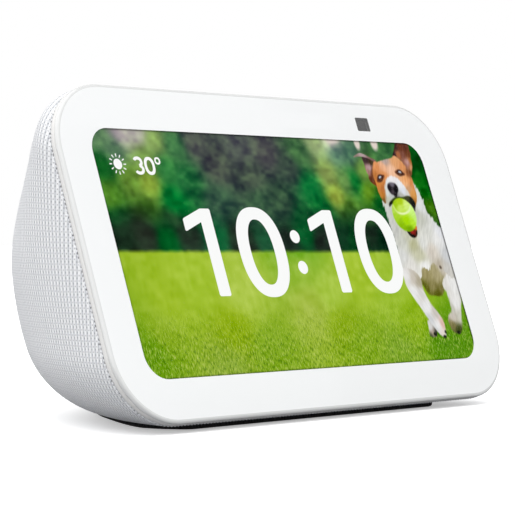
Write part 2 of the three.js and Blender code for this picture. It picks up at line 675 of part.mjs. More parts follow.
add(part, "speaker_enclosure", speakerEnclosure(), MATERIALS.inner_plastic);
add(part, "speaker_baffle", speakerBaffle(), MATERIALS.inner_plastic);
for (const [name, [profile, material]] of Object.entries(LOUDSPEAKER)) {
  add(part, name, onAxis(lathe(profile)), material);
}
SPEAKER_SCREWS.forEach(([x, up], n) => {
  const pin = screw(2, 1.2, 1, 9).translate(x, BAFFLE_REAR + GAP, SPEAKER_Z + up);
  add(part, `speaker_screw_${n + 1}`, pin, MATERIALS.steel);
});

export default part;
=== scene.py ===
"""A compact smart display: a tilted screen in a white ring, a domed knitted cover and a rubber foot.

Sizes in the sections are millimetres and become metres as each mesh is made.
"""

import math

import bmesh
import bpy
import numpy as np
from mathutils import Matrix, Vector
from mathutils.geometry import tessellate_polygon


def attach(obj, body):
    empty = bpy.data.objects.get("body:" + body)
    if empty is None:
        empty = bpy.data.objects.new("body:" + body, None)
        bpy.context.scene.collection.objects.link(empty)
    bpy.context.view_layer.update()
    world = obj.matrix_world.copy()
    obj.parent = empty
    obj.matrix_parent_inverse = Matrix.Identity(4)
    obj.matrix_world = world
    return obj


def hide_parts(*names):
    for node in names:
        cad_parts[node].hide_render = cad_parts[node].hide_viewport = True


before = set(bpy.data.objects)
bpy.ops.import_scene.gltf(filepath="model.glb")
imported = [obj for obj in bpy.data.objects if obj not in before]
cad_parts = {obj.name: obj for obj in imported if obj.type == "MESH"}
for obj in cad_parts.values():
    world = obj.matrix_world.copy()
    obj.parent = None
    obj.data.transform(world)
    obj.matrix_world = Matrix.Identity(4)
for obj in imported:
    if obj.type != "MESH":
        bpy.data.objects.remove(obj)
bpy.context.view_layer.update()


# ---- Camera, floor and light -------------------------------------------------------------------
# A long lens at table height, a plain floor, and two wide soft lights in a pale room: one from above
# and a weaker one from the front. The floor looks near white but lights the object as a mid grey.

CAMERA_PLACE = (-0.40251, -0.38839, 0.04598)
CAMERA_LOOKS = (0.73507, 0.67790, -0.01070)
LENS = 148.0
AMBIENT = 0.64
SHADOW_LIFT = 0.4

camera_data = bpy.data.cameras.new("camera")
camera_data.lens = LENS
camera_data.clip_start = 0.01
camera = bpy.data.objects.new("camera", camera_data)
camera.location = CAMERA_PLACE
camera.rotation_euler = Vector(CAMERA_LOOKS).to_track_quat("-Z", "Y").to_euler()
bpy.context.scene.collection.objects.link(camera)
bpy.context.scene.camera = camera
bpy.context.scene.view_settings.view_transform = "Standard"


def srgb(red, green, blue):
    """A colour given as 0 to 255 on a screen, as the linear colour a shader takes."""
    shares = [channel / 255 for channel in (red, green, blue)]
    linear = [s / 12.92 if s <= 0.04045 else ((s + 0.055) / 1.055) ** 2.4 for s in shares]
    return (*linear, 1.0)


def start_material(name, sockets):
    """A new material, its tree and its shader, with some of the shader's own sockets set."""
    material = bpy.data.materials.new(name)
    material.use_nodes = True
    shader = material.node_tree.nodes["Principled BSDF"]
    for socket, value in sockets.items():
        shader.inputs[socket].default_value = value
    return material, material.node_tree, shader


def add_node(tree, kind, inputs, **settings):
    """A node whose inputs are values or other nodes' outputs."""
    node = tree.nodes.new(kind)
    for setting, value in settings.items():
        setattr(node, setting, value)
    for key, value in inputs.items():
        if isinstance(value, bpy.types.NodeSocket):
            tree.links.new(value, node.inputs[key])
        else:
            node.inputs[key].default_value = value
    return node


def calculate(tree, operation, *values):
    """The output of one Math node."""
    node = add_node(tree, "ShaderNodeMath", dict(enumerate(values)), operation=operation)
    return node.outputs[0]


def mix_colours(tree, share, first, second):
    """The second colour laid over the first by a share from 0 to 1."""
    node = add_node(tree, "ShaderNodeMix", {0: share, 6: first, 7: second}, data_type="RGBA")
    return node.outputs[2]


def noise(tree, place, scale, detail=2.0):
    """Fractal noise, about 0.5 in the middle, with patches 1/scale of a unit across."""
    inputs = {"Vector": place, "Scale": scale, "Detail": detail}
    return add_node(tree, "ShaderNodeTexNoise", inputs).outputs["Fac"]


def grained(name, colour, tone=0.06, rough=0.4, grain=1500.0, height=0.00002, sockets=None):
    """A solid material with cloudy tone, uneven gloss and a fine moulded or rolled grain."""
    material, tree, shader = start_material(name, sockets or {})
    place = add_node(tree, "ShaderNodeTexCoord", {}).outputs["Object"]
    cloud = noise(tree, place, 60.0, 4.0)
    darker = (*[channel * (1 - tone) for channel in colour[:3]], 1.0)
    lighter = (*[min(channel * (1 + tone), 1.0) for channel in colour[:3]], 1.0)
    tree.links.new(mix_colours(tree, cloud, darker, lighter), shader.inputs["Base Color"])
    fine = noise(tree, place, grain, 3.0)
    uneven = calculate(tree, "MULTIPLY_ADD", fine, 0.3 * rough, 0.85 * rough)
    tree.links.new(uneven, shader.inputs["Roughness"])
    bump = add_node(tree, "ShaderNodeBump", {"Distance": height, "Height": fine, "Strength": 0.6})
    tree.links.new(bump.outputs[0], shader.inputs["Normal"])
    return material


FLOOR_BOUNCE = srgb(150, 151, 154)
floor_mesh = bpy.data.meshes.new("floor")
floor_half = 6.0
floor_corners = [(-1, -1), (1, -1), (1, 1), (-1, 1)]
floor_mesh.from_pydata([(x * floor_half, y * floor_half, 0) for x, y in floor_corners], [], [(0, 1, 2, 3)])
floor = bpy.data.objects.new("floor", floor_mesh)
floor_sockets = {"Roughness": 0.8, "Emission Color": srgb(255, 255, 255)}
pale_floor, tree, shader = start_material("pale_floor", floor_sockets)
seen = add_node(tree, "ShaderNodeLightPath", {}).outputs["Is Camera Ray"]
place = add_node(tree, "ShaderNodeTexCoord", {}).outputs["Object"]
floor_tone = mix_colours(tree, noise(tree, place, 30.0), srgb(248, 248, 248), srgb(252, 252, 252))
floor_colour = mix_colours(tree, seen, FLOOR_BOUNCE, floor_tone)
tree.links.new(floor_colour, shader.inputs["Base Color"])
tree.links.new(calculate(tree, "MULTIPLY", seen, SHADOW_LIFT), shader.inputs["Emission Strength"])
floor_mesh.materials.append(pale_floor)
bpy.context.scene.collection.objects.link(floor)


def soft_sun(name, comes_from, spread, power):
    """Even light from one side of the sky, softened by its spread in degrees."""
    sun = bpy.data.lights.new(name, "SUN")
    sun.energy = power
    sun.angle = math.radians(spread)
    holder = bpy.data.objects.new(name, sun)
    holder.rotation_euler = Vector(comes_from).to_track_quat("Z", "Y").to_euler()
    bpy.context.scene.collection.objects.link(holder)


soft_sun("light_above", (-0.7, 0.1, 1.0), 120.0, 2.2)
soft_sun("light_front", (0.1, -1.0, 0.7), 90.0, 0.7)


world = bpy.data.worlds.new("white_room")
world.use_nodes = True
bpy.context.scene.world = world
room = world.node_tree
background = room.nodes["Background"]
background.inputs["Color"].default_value = (1.0, 1.0, 1.0, 1.0)
seen = add_node(room, "ShaderNodeLightPath", {}).outputs["Is Camera Ray"]
brightness = calculate(room, "MULTIPLY_ADD", seen, 1.0 - AMBIENT, AMBIENT)
room.links.new(brightness, background.inputs["Strength"])


# ---- Cover glass -------------------------------------------------------------------------------
# One sheet of glass with a rounded edge, painted white on its back all round the screen.
# The paint leaves two clear windows: the screen's, and a small smoked one for the camera.

MM = 0.001
WIDTH = 147.0
HEIGHT = 82.0
DEPTH = 91.0
TILT = math.radians(19.92)
SIN_TILT = math.sin(TILT)
COS_TILT = math.cos(TILT)
FACE_TALL = 84.6
FACE_CORNER = 17.3
EDGE_ROUND = 0.5
FACE_REACH = FACE_TALL / 2 - EDGE_ROUND
FACE_Z = HEIGHT - EDGE_ROUND + EDGE_ROUND * SIN_TILT - FACE_REACH * COS_TILT
FACE_Y = EDGE_ROUND - DEPTH / 2 - EDGE_ROUND * COS_TILT + FACE_REACH * SIN_TILT

SCREEN_WIDTH = 125.1
SCREEN_TALL = 62.5
SCREEN_CORNER = 6.3
SCREEN_MIDDLE = (-0.6, -0.4)
WINDOW_WIDTH = 5.3
WINDOW_TALL = 3.9
WINDOW_MIDDLE = (40.1, 35.7)


def on_face(across, up, back=0.0):
    """Metres, from millimetres across the glass, up its slope, and back from its front."""
    across, up, back = np.broadcast_arrays(across, up, back)
    y = FACE_Y + up * SIN_TILT + back * COS_TILT
    z = FACE_Z + up * COS_TILT - back * SIN_TILT
    return np.stack([across, y, z], -1) * MM


def rounded_outline(width, tall, corner, steps=16, middle=(0.0, 0.0)):
    """A rounded rectangle's points, anticlockwise from its right side's top."""
    points = []
    for quarter, (right, high) in enumerate([(1, 1), (-1, 1), (-1, -1), (1, -1)]):
        centre_x = middle[0] + right * (width / 2 - corner)
        centre_y = middle[1] + high * (tall / 2 - corner)
        for step in range(steps + 1):
            angle = (quarter + step / steps) * math.pi / 2
            points.append((centre_x + corner * math.cos(angle), centre_y + corner * math.sin(angle)))
    return np.array(points)


def face_outline(inset):
    """The face's outline, moved inwards."""
    corner = FACE_CORNER - inset
    return rounded_outline(WIDTH - 2 * inset, FACE_TALL - 2 * inset, corner, steps=20)


def wall_between(first, second, count):
    """The faces that join one closed loop of points to the next, by each loop's first index."""
    return [
        (first + k, first + (k + 1) % count, second + (k + 1) % count, second + k)
        for k in range(count)
    ]


def loft(loops, capped=True, ring=False):
    """Points and faces of a skin over closed loops: capped at both ends, or joined end to end."""
    count = len(loops[0])
    faces = []
    for level in range(len(loops) - 1):
        faces += wall_between(level * count, (level + 1) * count, count)
    if ring:
        faces += wall_between((len(loops) - 1) * count, 0, count)
    elif capped:
        faces.append(tuple(range(count)))
        faces.append(tuple(range((len(loops) - 1) * count, len(loops) * count)))
    return np.concatenate(loops), faces


def make_mesh(name, points, faces, materials, sharp=35.0):
    """A mesh object whose faces look outwards, smooth except across sharp edges."""
    mesh = bpy.data.meshes.new(name)
    mesh.from_pydata([tuple(point) for point in points], [], [tuple(face) for face in faces])
    shape = bmesh.new()
    shape.from_mesh(mesh)
    bmesh.ops.recalc_face_normals(shape, faces=shape.faces)
    shape.to_mesh(mesh)
    shape.free()
    mesh.shade_smooth()
    mesh.set_sharp_from_angle(angle=math.radians(sharp))
    for material in materials:
        mesh.materials.append(material)
    piece = bpy.data.objects.new(name, mesh)
    bpy.context.scene.collection.objects.link(piece)
    return piece


def join_shells(shells):
    """Several (points, faces) pairs as one."""
    points = []
    faces = []
    for shell_points, shell_faces in shells:
        start = sum(len(p) for p in points)
        points.append(np.asarray(shell_points))
        faces += [tuple(k + start for k in face) for face in shell_faces]
    return np.concatenate(points), faces


def flat_region(loops):
    """Triangles over the first loop less the others, as indices into all of the loops' points."""
    lists = [[Vector((x, y, 0.0)) for x, y in loop] for loop in loops]
    return [tuple(triangle) for triangle in tessellate_polygon(lists)]


EDGE_PROFILE = [
    (0.9, 0.0), (0.62, 0.03), (0.36, 0.12), (0.16, 0.28), (0.04, 0.48), (0.0, 0.7), (0.0, 0.92), (0.14, 1.08),
]
screen_window = rounded_outline(SCREEN_WIDTH, SCREEN_TALL, SCREEN_CORNER, 14, SCREEN_MIDDLE)
camera_window = rounded_outline(WINDOW_WIDTH, WINDOW_TALL, 0.35, 5, WINDOW_MIDDLE)


def glass_plate():
    """The glass's points and faces, with each face's material: paint, clear, smoked or edge."""
    edge_points, edge_faces = loft(
        [on_face(*face_outline(i).T, back) for i, back in EDGE_PROFILE], capped=False
    )
    shells = [(edge_points, edge_faces)]
    kinds = [3] * len(edge_faces)
    for inset, back in (EDGE_PROFILE[0], EDGE_PROFILE[-1]):
        loops = [face_outline(inset), screen_window, camera_window]
        shells.append((on_face(*np.concatenate(loops).T, back), flat_region(loops)))
        kinds += [0] * len(shells[-1][1])
        for kind, loop in ((1, screen_window), (2, camera_window)):
            shells.append((on_face(*loop.T, back), [tuple(range(len(loop)))]))
            kinds.append(kind)
    return *join_shells(shells), kinds


white_print, tree, shader = start_material(
    "white_print",
    {"Roughness": 0.3, "Coat Weight": 0.8, "Coat Roughness": 0.04, "Coat IOR": 1.45},
)
place = add_node(tree, "ShaderNodeTexCoord", {}).outputs["Object"]
print_tone = mix_colours(tree, noise(tree, place, 25.0, 3.0), srgb(241, 243, 243), srgb(243, 244, 244))
tree.links.new(print_tone, shader.inputs["Base Color"])
print_gloss = calculate(tree, "MULTIPLY_ADD", noise(tree, place, 400.0, 2.0), 0.03, 0.27)
tree.links.new(print_gloss, shader.inputs["Roughness"])

glass_edge, tree, shader = start_material(
    "glass_edge",
    {"Roughness": 0.12, "Coat Weight": 1.0, "Coat Roughness": 0.03, "Transmission Weight": 0.0},
)
place = add_node(tree, "ShaderNodeTexCoord", {}).outputs["Object"]
# The rounded edge is painted greyer than the white print: painted shade on the edge as it turns away from the
# light.
shaded_edge_tone = mix_colours(tree, noise(tree, place, 90.0, 3.0), srgb(216, 217, 216), srgb(222, 223, 222))
tree.links.new(shaded_edge_tone, shader.inputs["Base Color"])
edge_gloss = calculate(tree, "MULTIPLY_ADD", noise(tree, place, 600.0, 2.0), 0.08, 0.08)
tree.links.new(edge_gloss, shader.inputs["Roughness"])


def window_glass(name, tint, clearness):
    """Thin glass: mostly see-through, with a tint and the polish of its surface."""
    material, tree, shader = start_material(name, {"Roughness": 0.03, "IOR": 1.33, "Alpha": 1 - clearness})
    place = add_node(tree, "ShaderNodeTexCoord", {}).outputs["Object"]
    smear = noise(tree, place, 70.0, 3.0)
    darker = (*[channel * 0.85 for channel in tint[:3]], 1.0)
    tree.links.new(mix_colours(tree, smear, darker, tint), shader.inputs["Base Color"])
    gloss = calculate(tree, "MULTIPLY_ADD", smear, 0.03, 0.02)
    tree.links.new(gloss, shader.inputs["Roughness"])
    return material


clear_glass = window_glass("clear_glass", srgb(20, 22, 22), 0.97)
smoked_glass = window_glass("smoked_glass", srgb(112, 112, 112), 0.3)

points, faces, kinds = glass_plate()
cover_glass = make_mesh("cover_glass", points, faces, [white_print, clear_glass, smoked_glass, glass_edge])
for polygon, kind in zip(cover_glass.data.polygons, kinds):
    polygon.material_index = kind
shape = bmesh.new()
shape.from_mesh(cover_glass.data)
bmesh.ops.remove_doubles(shape, verts=shape.verts, dist=1e-6)
bmesh.ops.recalc_face_normals(shape, faces=shape.faces)
shape.to_mesh(cover_glass.data)
shape.free()
cover_glass.data.set_sharp_from_angle(angle=math.radians(35))
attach(cover_glass, "body")
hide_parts("front_glass")


# ---- Picture on the screen ---------------------------------------------------------------------
# The lit panel shows a lawn before blurred trees, and a white and tan dog that runs with a ball.
# It is painted into the corners of a fine grid, shape over shape, and the grass blades are noise.

PICTURE_BACK = 0.2
PICTURE_LEFT = SCREEN_MIDDLE[0] - SCREEN_WIDTH / 2 - 0.6
PICTURE_RIGHT = SCREEN_MIDDLE[0] + SCREEN_WIDTH / 2 + 0.6
PICTURE_LOW = SCREEN_MIDDLE[1] - SCREEN_TALL / 2 - 0.6
PICTURE_HIGH = SCREEN_MIDDLE[1] + SCREEN_TALL / 2 + 0.6
FINE_FROM = 31.0

columns = np.concatenate(
    [np.arange(PICTURE_LEFT, FINE_FROM, 0.5), np.linspace(FINE_FROM, PICTURE_RIGHT, 160)]
)
rows = np.linspace(PICTURE_LOW, PICTURE_HIGH, 256)
across, up = (grid.ravel() for grid in np.meshgrid(columns, rows))


def patches(wide, tall, seed, lean=0.0):
    """Soft random patches of that size in millimetres, from 0 to 1, turned by lean degrees."""
    lattice = np.random.default_rng(seed).random((512, 512))
    turn = math.radians(lean)
    x = (across * math.cos(turn) + up * math.sin(turn)) / wide + 200.0
    y = (up * math.cos(turn) - across * math.sin(turn)) / tall + 200.0
    column = np.floor(x).astype(int)
    row = np.floor(y).astype(int)
    x = (x - column) ** 2 * (3 - 2 * (x - column))
    y = (y - row) ** 2 * (3 - 2 * (y - row))
    low = lattice[row % 512, column % 512] * (1 - x) + lattice[row % 512, (column + 1) % 512] * x
    row += 1
    high = lattice[row % 512, column % 512] * (1 - x) + lattice[row % 512, (column + 1) % 512] * x
    return low * (1 - y) + high * y


def run_together(spots, softness):
    """Colours laid at a few spots, (across, up, (red, green, blue)), and blended between them."""
    total = np.zeros((len(across), 3))
    weights = np.zeros(len(across))
    for spot_across, spot_up, colour in spots:
        weight = ((across - spot_across) ** 2 + (up - spot_up) ** 2 + softness**2) ** -2.0
        total += weight[:, None] * np.array(colour)
        weights += weight
    return total / weights[:, None]


def smooth_loop(corners, steps=6):
    """A closed curve through its corners."""
    corners = np.array(corners, float)
    before, after, beyond = (np.roll(corners, -n, 0) for n in (-1, 1, 2))
    curve = []
    for t in np.arange(steps) / steps:
        curve.append(
            0.5
            * (
                2 * corners
                + (after - before) * t
                + (2 * before - 5 * corners + 4 * after - beyond) * t**2
                + (3 * corners - before - 3 * after + beyond) * t**3
            )
        )
    return np.stack(curve, 1).reshape(-1, 2)


def depth_inside(loop):
    """How far each of the picture's points lies inside a closed curve, and below 0 outside it."""
    nearest = np.full(len(across), 1e9)
    inside = np.zeros(len(across), bool)
    for (x0, y0), (x1, y1) in zip(loop, np.roll(loop, -1, 0)):
        along = ((across - x0) * (x1 - x0) + (up - y0) * (y1 - y0)) / (
            (x1 - x0) ** 2 + (y1 - y0) ** 2 + 1e-12
        )
        along = np.clip(along, 0, 1)
        gap = (across - x0 - along * (x1 - x0)) ** 2 + (up - y0 - along * (y1 - y0)) ** 2
        nearest = np.minimum(nearest, gap)
        if y0 != y1:
            crosses = (y0 > up) != (y1 > up)
            inside ^= crosses & (across < x0 + (up - y0) / (y1 - y0) * (x1 - x0))
    return np.where(inside, 1, -1) * np.sqrt(nearest)


def brush(corners, spots, edge=0.35, fur=0.0, lie=90.0, streak=0.0, softness=1.0, seed=1):
    """Paints one closed shape: its spots' colours, a soft edge, and hair that lies at an angle."""
    global across, up, picture
    whole = (across, up, picture)
    corners = np.array(corners, float)
    reach = edge + 2 * fur + 0.5
    low = corners.min(0) - reach
    high = corners.max(0) + reach
    near = (across > low[0]) & (across < high[0]) & (up > low[1]) & (up < high[1])
    across, up = across[near], up[near]
    hair = patches(1.9, 0.32, seed, lie) + 0.5 * patches(0.9, 0.22, seed + 1, lie) - 0.75
    share = np.clip(0.5 + (depth_inside(smooth_loop(corners)) + fur * hair * 1.4) / edge, 0, 1)
    colour = run_together(spots, softness) + streak * hair[:, None]
    across, up, picture = whole
    picture[near] += share[:, None] * (colour - picture[near])


# Trees, from left to right, with the pale sky that shows through their tops.
TREES = [
    (-61, 29, (80, 115, 80)),
    (-61, 21, (20, 95, 35)),
    (-56, 25, (75, 110, 80)),
    (-52, 30, (170, 168, 158)),
    (-53, 18, (95, 135, 50)),
    (-61, 14, (70, 120, 35)),
    (-60, 7, (5, 75, 30)),
    (-47, 30, (175, 178, 160)),
    (-46, 24, (110, 145, 72)),
    (-47, 17, (125, 152, 55)),
    (-50, 10, (62, 105, 35)),
    (-42, 28, (125, 155, 85)),
    (-40, 21, (40, 110, 55)),
    (-40, 13, (0, 112, 45)),
    (-43, 6, (35, 66, 38)),
    (-35, 27, (62, 115, 68)),
    (-34, 18, (30, 98, 52)),
    (-28, 28, (76, 84, 76)),
    (-22, 22, (70, 80, 70)),
    (-24, 12, (50, 82, 62)),
    (-12, 28, (78, 88, 80)),
    (-10, 19, (64, 78, 66)),
    (-9, 13, (52, 84, 60)),
    (-2, 26, (76, 82, 76)),
    (-1, 13, (48, 76, 56)),
    (5, 22, (62, 82, 66)),
    (6, 8, (20, 84, 44)),
    (11, 27, (68, 112, 66)),
    (12, 17, (14, 112, 52)),
    (14, 11, (5, 98, 42)),
    (18, 30, (138, 160, 108)),
    (20, 21, (128, 152, 80)),
    (21, 15, (138, 160, 62)),
    (25, 31, (205, 198, 182)),
    (26, 27, (84, 124, 98)),
    (27, 19, (96, 132, 70)),
    (26, 11, (66, 112, 36)),
    (30, 19, (4, 108, 42)),
    (31, 27, (68, 108, 84)),
    (35, 22, (100, 135, 62)),
    (35, 16, (98, 142, 34)),
    (38, 13, (12, 92, 32)),
    (46, 27, (52, 100, 56)),
    (58, 26, (6, 78, 20)),
    (60, 18, (10, 100, 18)),
    (60, 11, (58, 108, 12)),
]
UNDERGROWTH = [
    (-61, 3, (28, 52, 32)),
    (-52, 3, (38, 50, 36)),
    (-46, 2, (6, 88, 34)),
    (-38, 3, (38, 56, 40)),
    (-29, 4, (20, 96, 52)),
    (-20, 2, (36, 50, 36)),
    (-10, 4, (28, 78, 48)),
    (-3, 2, (30, 46, 34)),
    (5, 4, (10, 84, 38)),
    (10, 2, (32, 46, 34)),
    (19, 4, (22, 62, 36)),
    (24, 2, (10, 66, 28)),
    (31, 4, (26, 46, 30)),
    (35, 2, (12, 46, 24)),
]
LAWN = [
    (0, -1, (104, 168, 28)),
    (0, -4, (158, 192, 64)),
    (-40, -8, (164, 196, 52)),
    (20, -8, (164, 196, 50)),
    (-25, -12, (178, 204, 80)),
    (8, -12, (170, 201, 72)),
    (-50, -13, (158, 190, 42)),
    (34, -12, (160, 195, 56)),
    (0, -16, (166, 190, 70)),
    (-55, -20, (146, 180, 40)),
    (-30, -20, (144, 177, 16)),
    (10, -20, (144, 178, 24)),
    (40, -19, (142, 182, 24)),
    (-60, -25, (108, 158, 12)),
    (-20, -26, (132, 172, 30)),
    (15, -26, (134, 174, 28)),
    (50, -27, (92, 150, 14)),
    (-35, -31, (142, 174, 52)),
    (30, -31, (132, 172, 44)),
]
MID_TREE = np.array([58, 92, 50])
horizon = 0.3 - (across + 60) * 0.007 + 0.25 * patches(1.2, 1.2, 21)
trees = run_together(TREES, 2.2)
leaves = patches(3.2, 2.4, 11) + 0.6 * patches(1.3, 1.0, 12) - 0.8
trees += leaves[:, None] * np.array([34, 44, 22])
low_trees = run_together(UNDERGROWTH, 1.5) + leaves[:, None] * np.array([12, 22, 14])
dusk = np.clip((9.5 + 5 * patches(9.0, 9.0, 13) - up) / 7.0, 0, 1)[:, None] ** 1.2
trees += dusk * (low_trees - trees)
for pale_across, pale_up, half_wide, half_tall in [
    (35.6, 30.4, 1.3, 2.4), (42.9, 30.6, 1.7, 2.6), (25.5, 31.6, 3.6, 1.9),
]:
    reach = ((across - pale_across) / half_wide) ** 2 + ((up - pale_up) / half_tall) ** 2
    trees += np.clip(1.4 - reach, 0, 1)[:, None] ** 1.5 * (np.array([205, 198, 184]) - trees)
lawn = run_together(LAWN, 2.5)
tufts = patches(2.4, 1.6, 14) + 0.7 * patches(1.0, 2.2, 15) - 0.85
lawn += tufts[:, None] * np.array([16, 12, 22])
ground = np.clip((horizon - up) / 1.1, 0, 1)[:, None]
trees = MID_TREE + (trees - MID_TREE) * 1.15
picture = trees + ground * (lawn - trees)

WHITE = (236, 236, 234)
# Hind quarters and belly, dark underneath, then the far and near front legs.
brush(
    [(43, -4), (46.2, -9.5), (48.2, -12.9), (50.5, -13.5), (53, -13.8), (55.4, -12.4), (56.6, -10),
     (60, -8), (60, -3)],
    [(46, -5, (196, 186, 160)), (50, -7.5, (160, 150, 104)), (47.5, -11.5, (92, 94, 22)),
     (54, -8, (172, 162, 122)),
     (52, -13.4, (84, 86, 14)), (51, -11, (140, 132, 82)), (55.5, -11.5, (118, 112, 58)),
     (58, -6, (206, 198, 182))],
    edge=0.6, fur=0.3, lie=70, streak=26, seed=31,
)
brush(
    [(55.6, -10), (56.2, -13), (56.2, -16), (55.8, -18.2), (54, -19.6), (53.4, -21.2), (54, -23.4),
     (55.4, -24.6),
     (57.6, -24.5), (58.9, -22.9), (59.6, -20.4), (60.8, -17.4), (62, -14.4), (63, -9), (60, -7)],
    [(57, -11, (222, 220, 214)), (60, -11, WHITE), (58.5, -16, (232, 231, 230)),
     (56.6, -17, (198, 196, 184)),
     (56, -20, (208, 200, 190)), (55, -22, (126, 116, 72)), (57, -23.6, (62, 72, 28)),
     (59.4, -20, (206, 204, 192))],
    edge=0.5, fur=0.3, lie=80, streak=18, seed=33,
)
brush(
    [(44.6, -20.4), (44.2, -22.4), (43.8, -24.6), (45, -25.2), (46.6, -24.9), (47.4, -23.2), (46.6, -21.2)],
    [(44.8, -22.5, (226, 226, 226)), (45.4, -24, (214, 190, 176)), (46.6, -24.2, (36, 38, 30)),
     (44.5, -24.8, (60, 70, 40))],
    edge=0.4, fur=0.15, lie=70, streak=10, seed=35,
)
# Chest and neck.
brush(
    [(40.2, 13.8), (39.7, 11.6), (39.9, 8.6), (40.1, 5), (40.2, 1), (40.1, -3), (39.8, -6.4), (40.6, -9),
     (46.4, -8.6),
     (49, -5.6), (51.4, -6.2), (54, -4.2), (57, -6.2), (60.5, -8.6), (63, -8), (63.2, 5.2), (61.4, 6.6),
     (59.4, 8.6),
     (58.1, 10.2), (57.7, 12.6), (57.2, 15.2), (56.4, 17.2), (55.2, 19), (50, 16), (44, 14)],
    [(41, 11, (206, 208, 202)), (41.3, 5, (200, 201, 196)), (41.6, -2, (214, 215, 212)),
     (43.6, 1.6, (206, 208, 198)),
     (47.5, 1.2, (186, 186, 148)), (49.2, -2.2, (196, 196, 168)), (46, 3.4, (204, 205, 186)),
     (52.5, 1.5, (226, 227, 222)),
     (50, -5.2, (240, 240, 238)), (44, -5, (228, 226, 220)), (54.8, -0.6, (214, 206, 194)),
     (56.4, -5.6, (186, 176, 158)),
     (56, 4.5, (216, 217, 210)), (53.6, 9, (196, 198, 186)), (56.2, 12.6, (222, 224, 224)),
     (58.6, 3, WHITE),
     (60.8, 4.6, (226, 228, 232)), (61.4, -2, (210, 212, 214)), (59, -6.4, (204, 202, 196)),
     (54, 16, (216, 218, 214))],
    edge=0.4, fur=0.55, lie=62, streak=20, softness=1.2, seed=37,
)
brush(
    [(56.3, -5.2), (56.8, -5), (57.2, -5.6), (56.8, -6), (56.3, -5.8)],
    [(56.7, -5.5, (96, 84, 70))],
    edge=0.5,
)
# Near front leg, with its paw and claws.
brush(
    [(40, -5.5), (39.5, -8.6), (40.1, -11.6), (41.7, -14.5), (43.5, -17.3), (44.9, -19.8), (46.2, -21.8),
     (47.6, -23.8),
     (49.4, -25.2), (50.7, -25), (51.3, -22.8), (51.3, -20.6), (50.2, -18.6), (48.8, -16.9),
     (47.4, -14.6), (46.5, -11.4),
     (46.4, -8.2), (44, -6)],
    [(41, -8, (232, 231, 229)), (43.4, -8.6, (204, 196, 184)), (45.6, -9.4, (176, 168, 146)),
     (42.3, -12.4, WHITE),
     (45, -13, (222, 219, 214)), (46.2, -17, (238, 238, 238)), (48.6, -18.2, (204, 198, 190)),
     (45.8, -20, (212, 214, 216)),
     (48.6, -22, (242, 242, 242)), (50.7, -21.6, (224, 186, 172)), (47.4, -23.2, (212, 214, 214)),
     (49.8, -24.4, (226, 216, 206))],
    edge=0.35, fur=0.2, lie=-60, streak=16, seed=39,
)
for claw_across, claw_up, half_wide in [
    (46.2, -24.3, 0.7), (50.1, -25.2, 0.65), (50.9, -23.9, 0.4), (56.6, -24.2, 0.7),
]:
    turn = np.radians(np.arange(0, 360, 60))
    claw = np.stack([claw_across + half_wide * np.cos(turn), claw_up + 0.5 * np.sin(turn)], 1)
    brush(claw, [(claw_across, claw_up, (26, 30, 20))], edge=0.4)
# Head: far ear, near ear, then the tan mask with its white blaze and muzzle.
brush(
    [(49.6, 26.9), (50.4, 28.2), (51.4, 29.7), (52.4, 30.9), (55, 31.4), (57.5, 31), (57.7, 29.6),
     (57.7, 27.8), (57.2, 26),
     (56.9, 24), (56.3, 22.9), (55.8, 21.6), (54.8, 21.4), (54, 23.6), (52.4, 25.8), (51, 26.6)],
    [(50.1, 27.4, (48, 28, 36)), (51.8, 29.6, (66, 36, 34)), (52.2, 27.4, (168, 100, 62)),
     (54, 29.4, (112, 62, 44)),
     (56, 30, (92, 50, 38)), (54, 27.4, (128, 80, 66)), (55.2, 25, (194, 150, 146)),
     (54, 24.6, (150, 100, 84)),
     (57.1, 27.6, (110, 62, 36)), (57, 25.4, (178, 112, 58)), (56.2, 23.4, (206, 142, 96)),
     (55.4, 22.2, (120, 72, 44))],
    edge=0.3, fur=0.12, lie=65, streak=26, softness=0.6, seed=41,
)
brush(
    [(36.2, 26.3), (36.2, 24.5), (36.2, 22.6), (36.7, 21.2), (36.6, 19.8), (37.1, 18.9), (38.2, 18.2),
     (39.2, 17.8),
     (39.6, 20), (40, 22.6), (41.6, 24.8), (40, 26)],
    [(37.4, 25.6, (62, 44, 46)), (39.6, 25, (72, 58, 40)), (38, 23, (190, 156, 158)),
     (37.2, 21.8, (168, 124, 118)),
     (39.2, 22.2, (104, 62, 46)), (37.6, 19.8, (92, 48, 30)), (38.6, 20.8, (120, 68, 40)),
     (38.8, 18.4, (120, 60, 30))],
    edge=0.3, fur=0.15, lie=75, streak=24, softness=0.5, seed=43,
)
brush(
    [(32.5, 26.05), (34, 26.9), (35.6, 27.35), (37.4, 27), (39.4, 26.2), (41.6, 25.4), (40.8, 25),
     (38.6, 25.9),
     (36.4, 26.3), (34.4, 26.3)],
    [(34, 26.6, (150, 128, 120)), (36, 26.9, (186, 162, 164)), (40, 25.8, (134, 100, 96))],
    edge=0.25, lie=10, streak=12, seed=45,
)
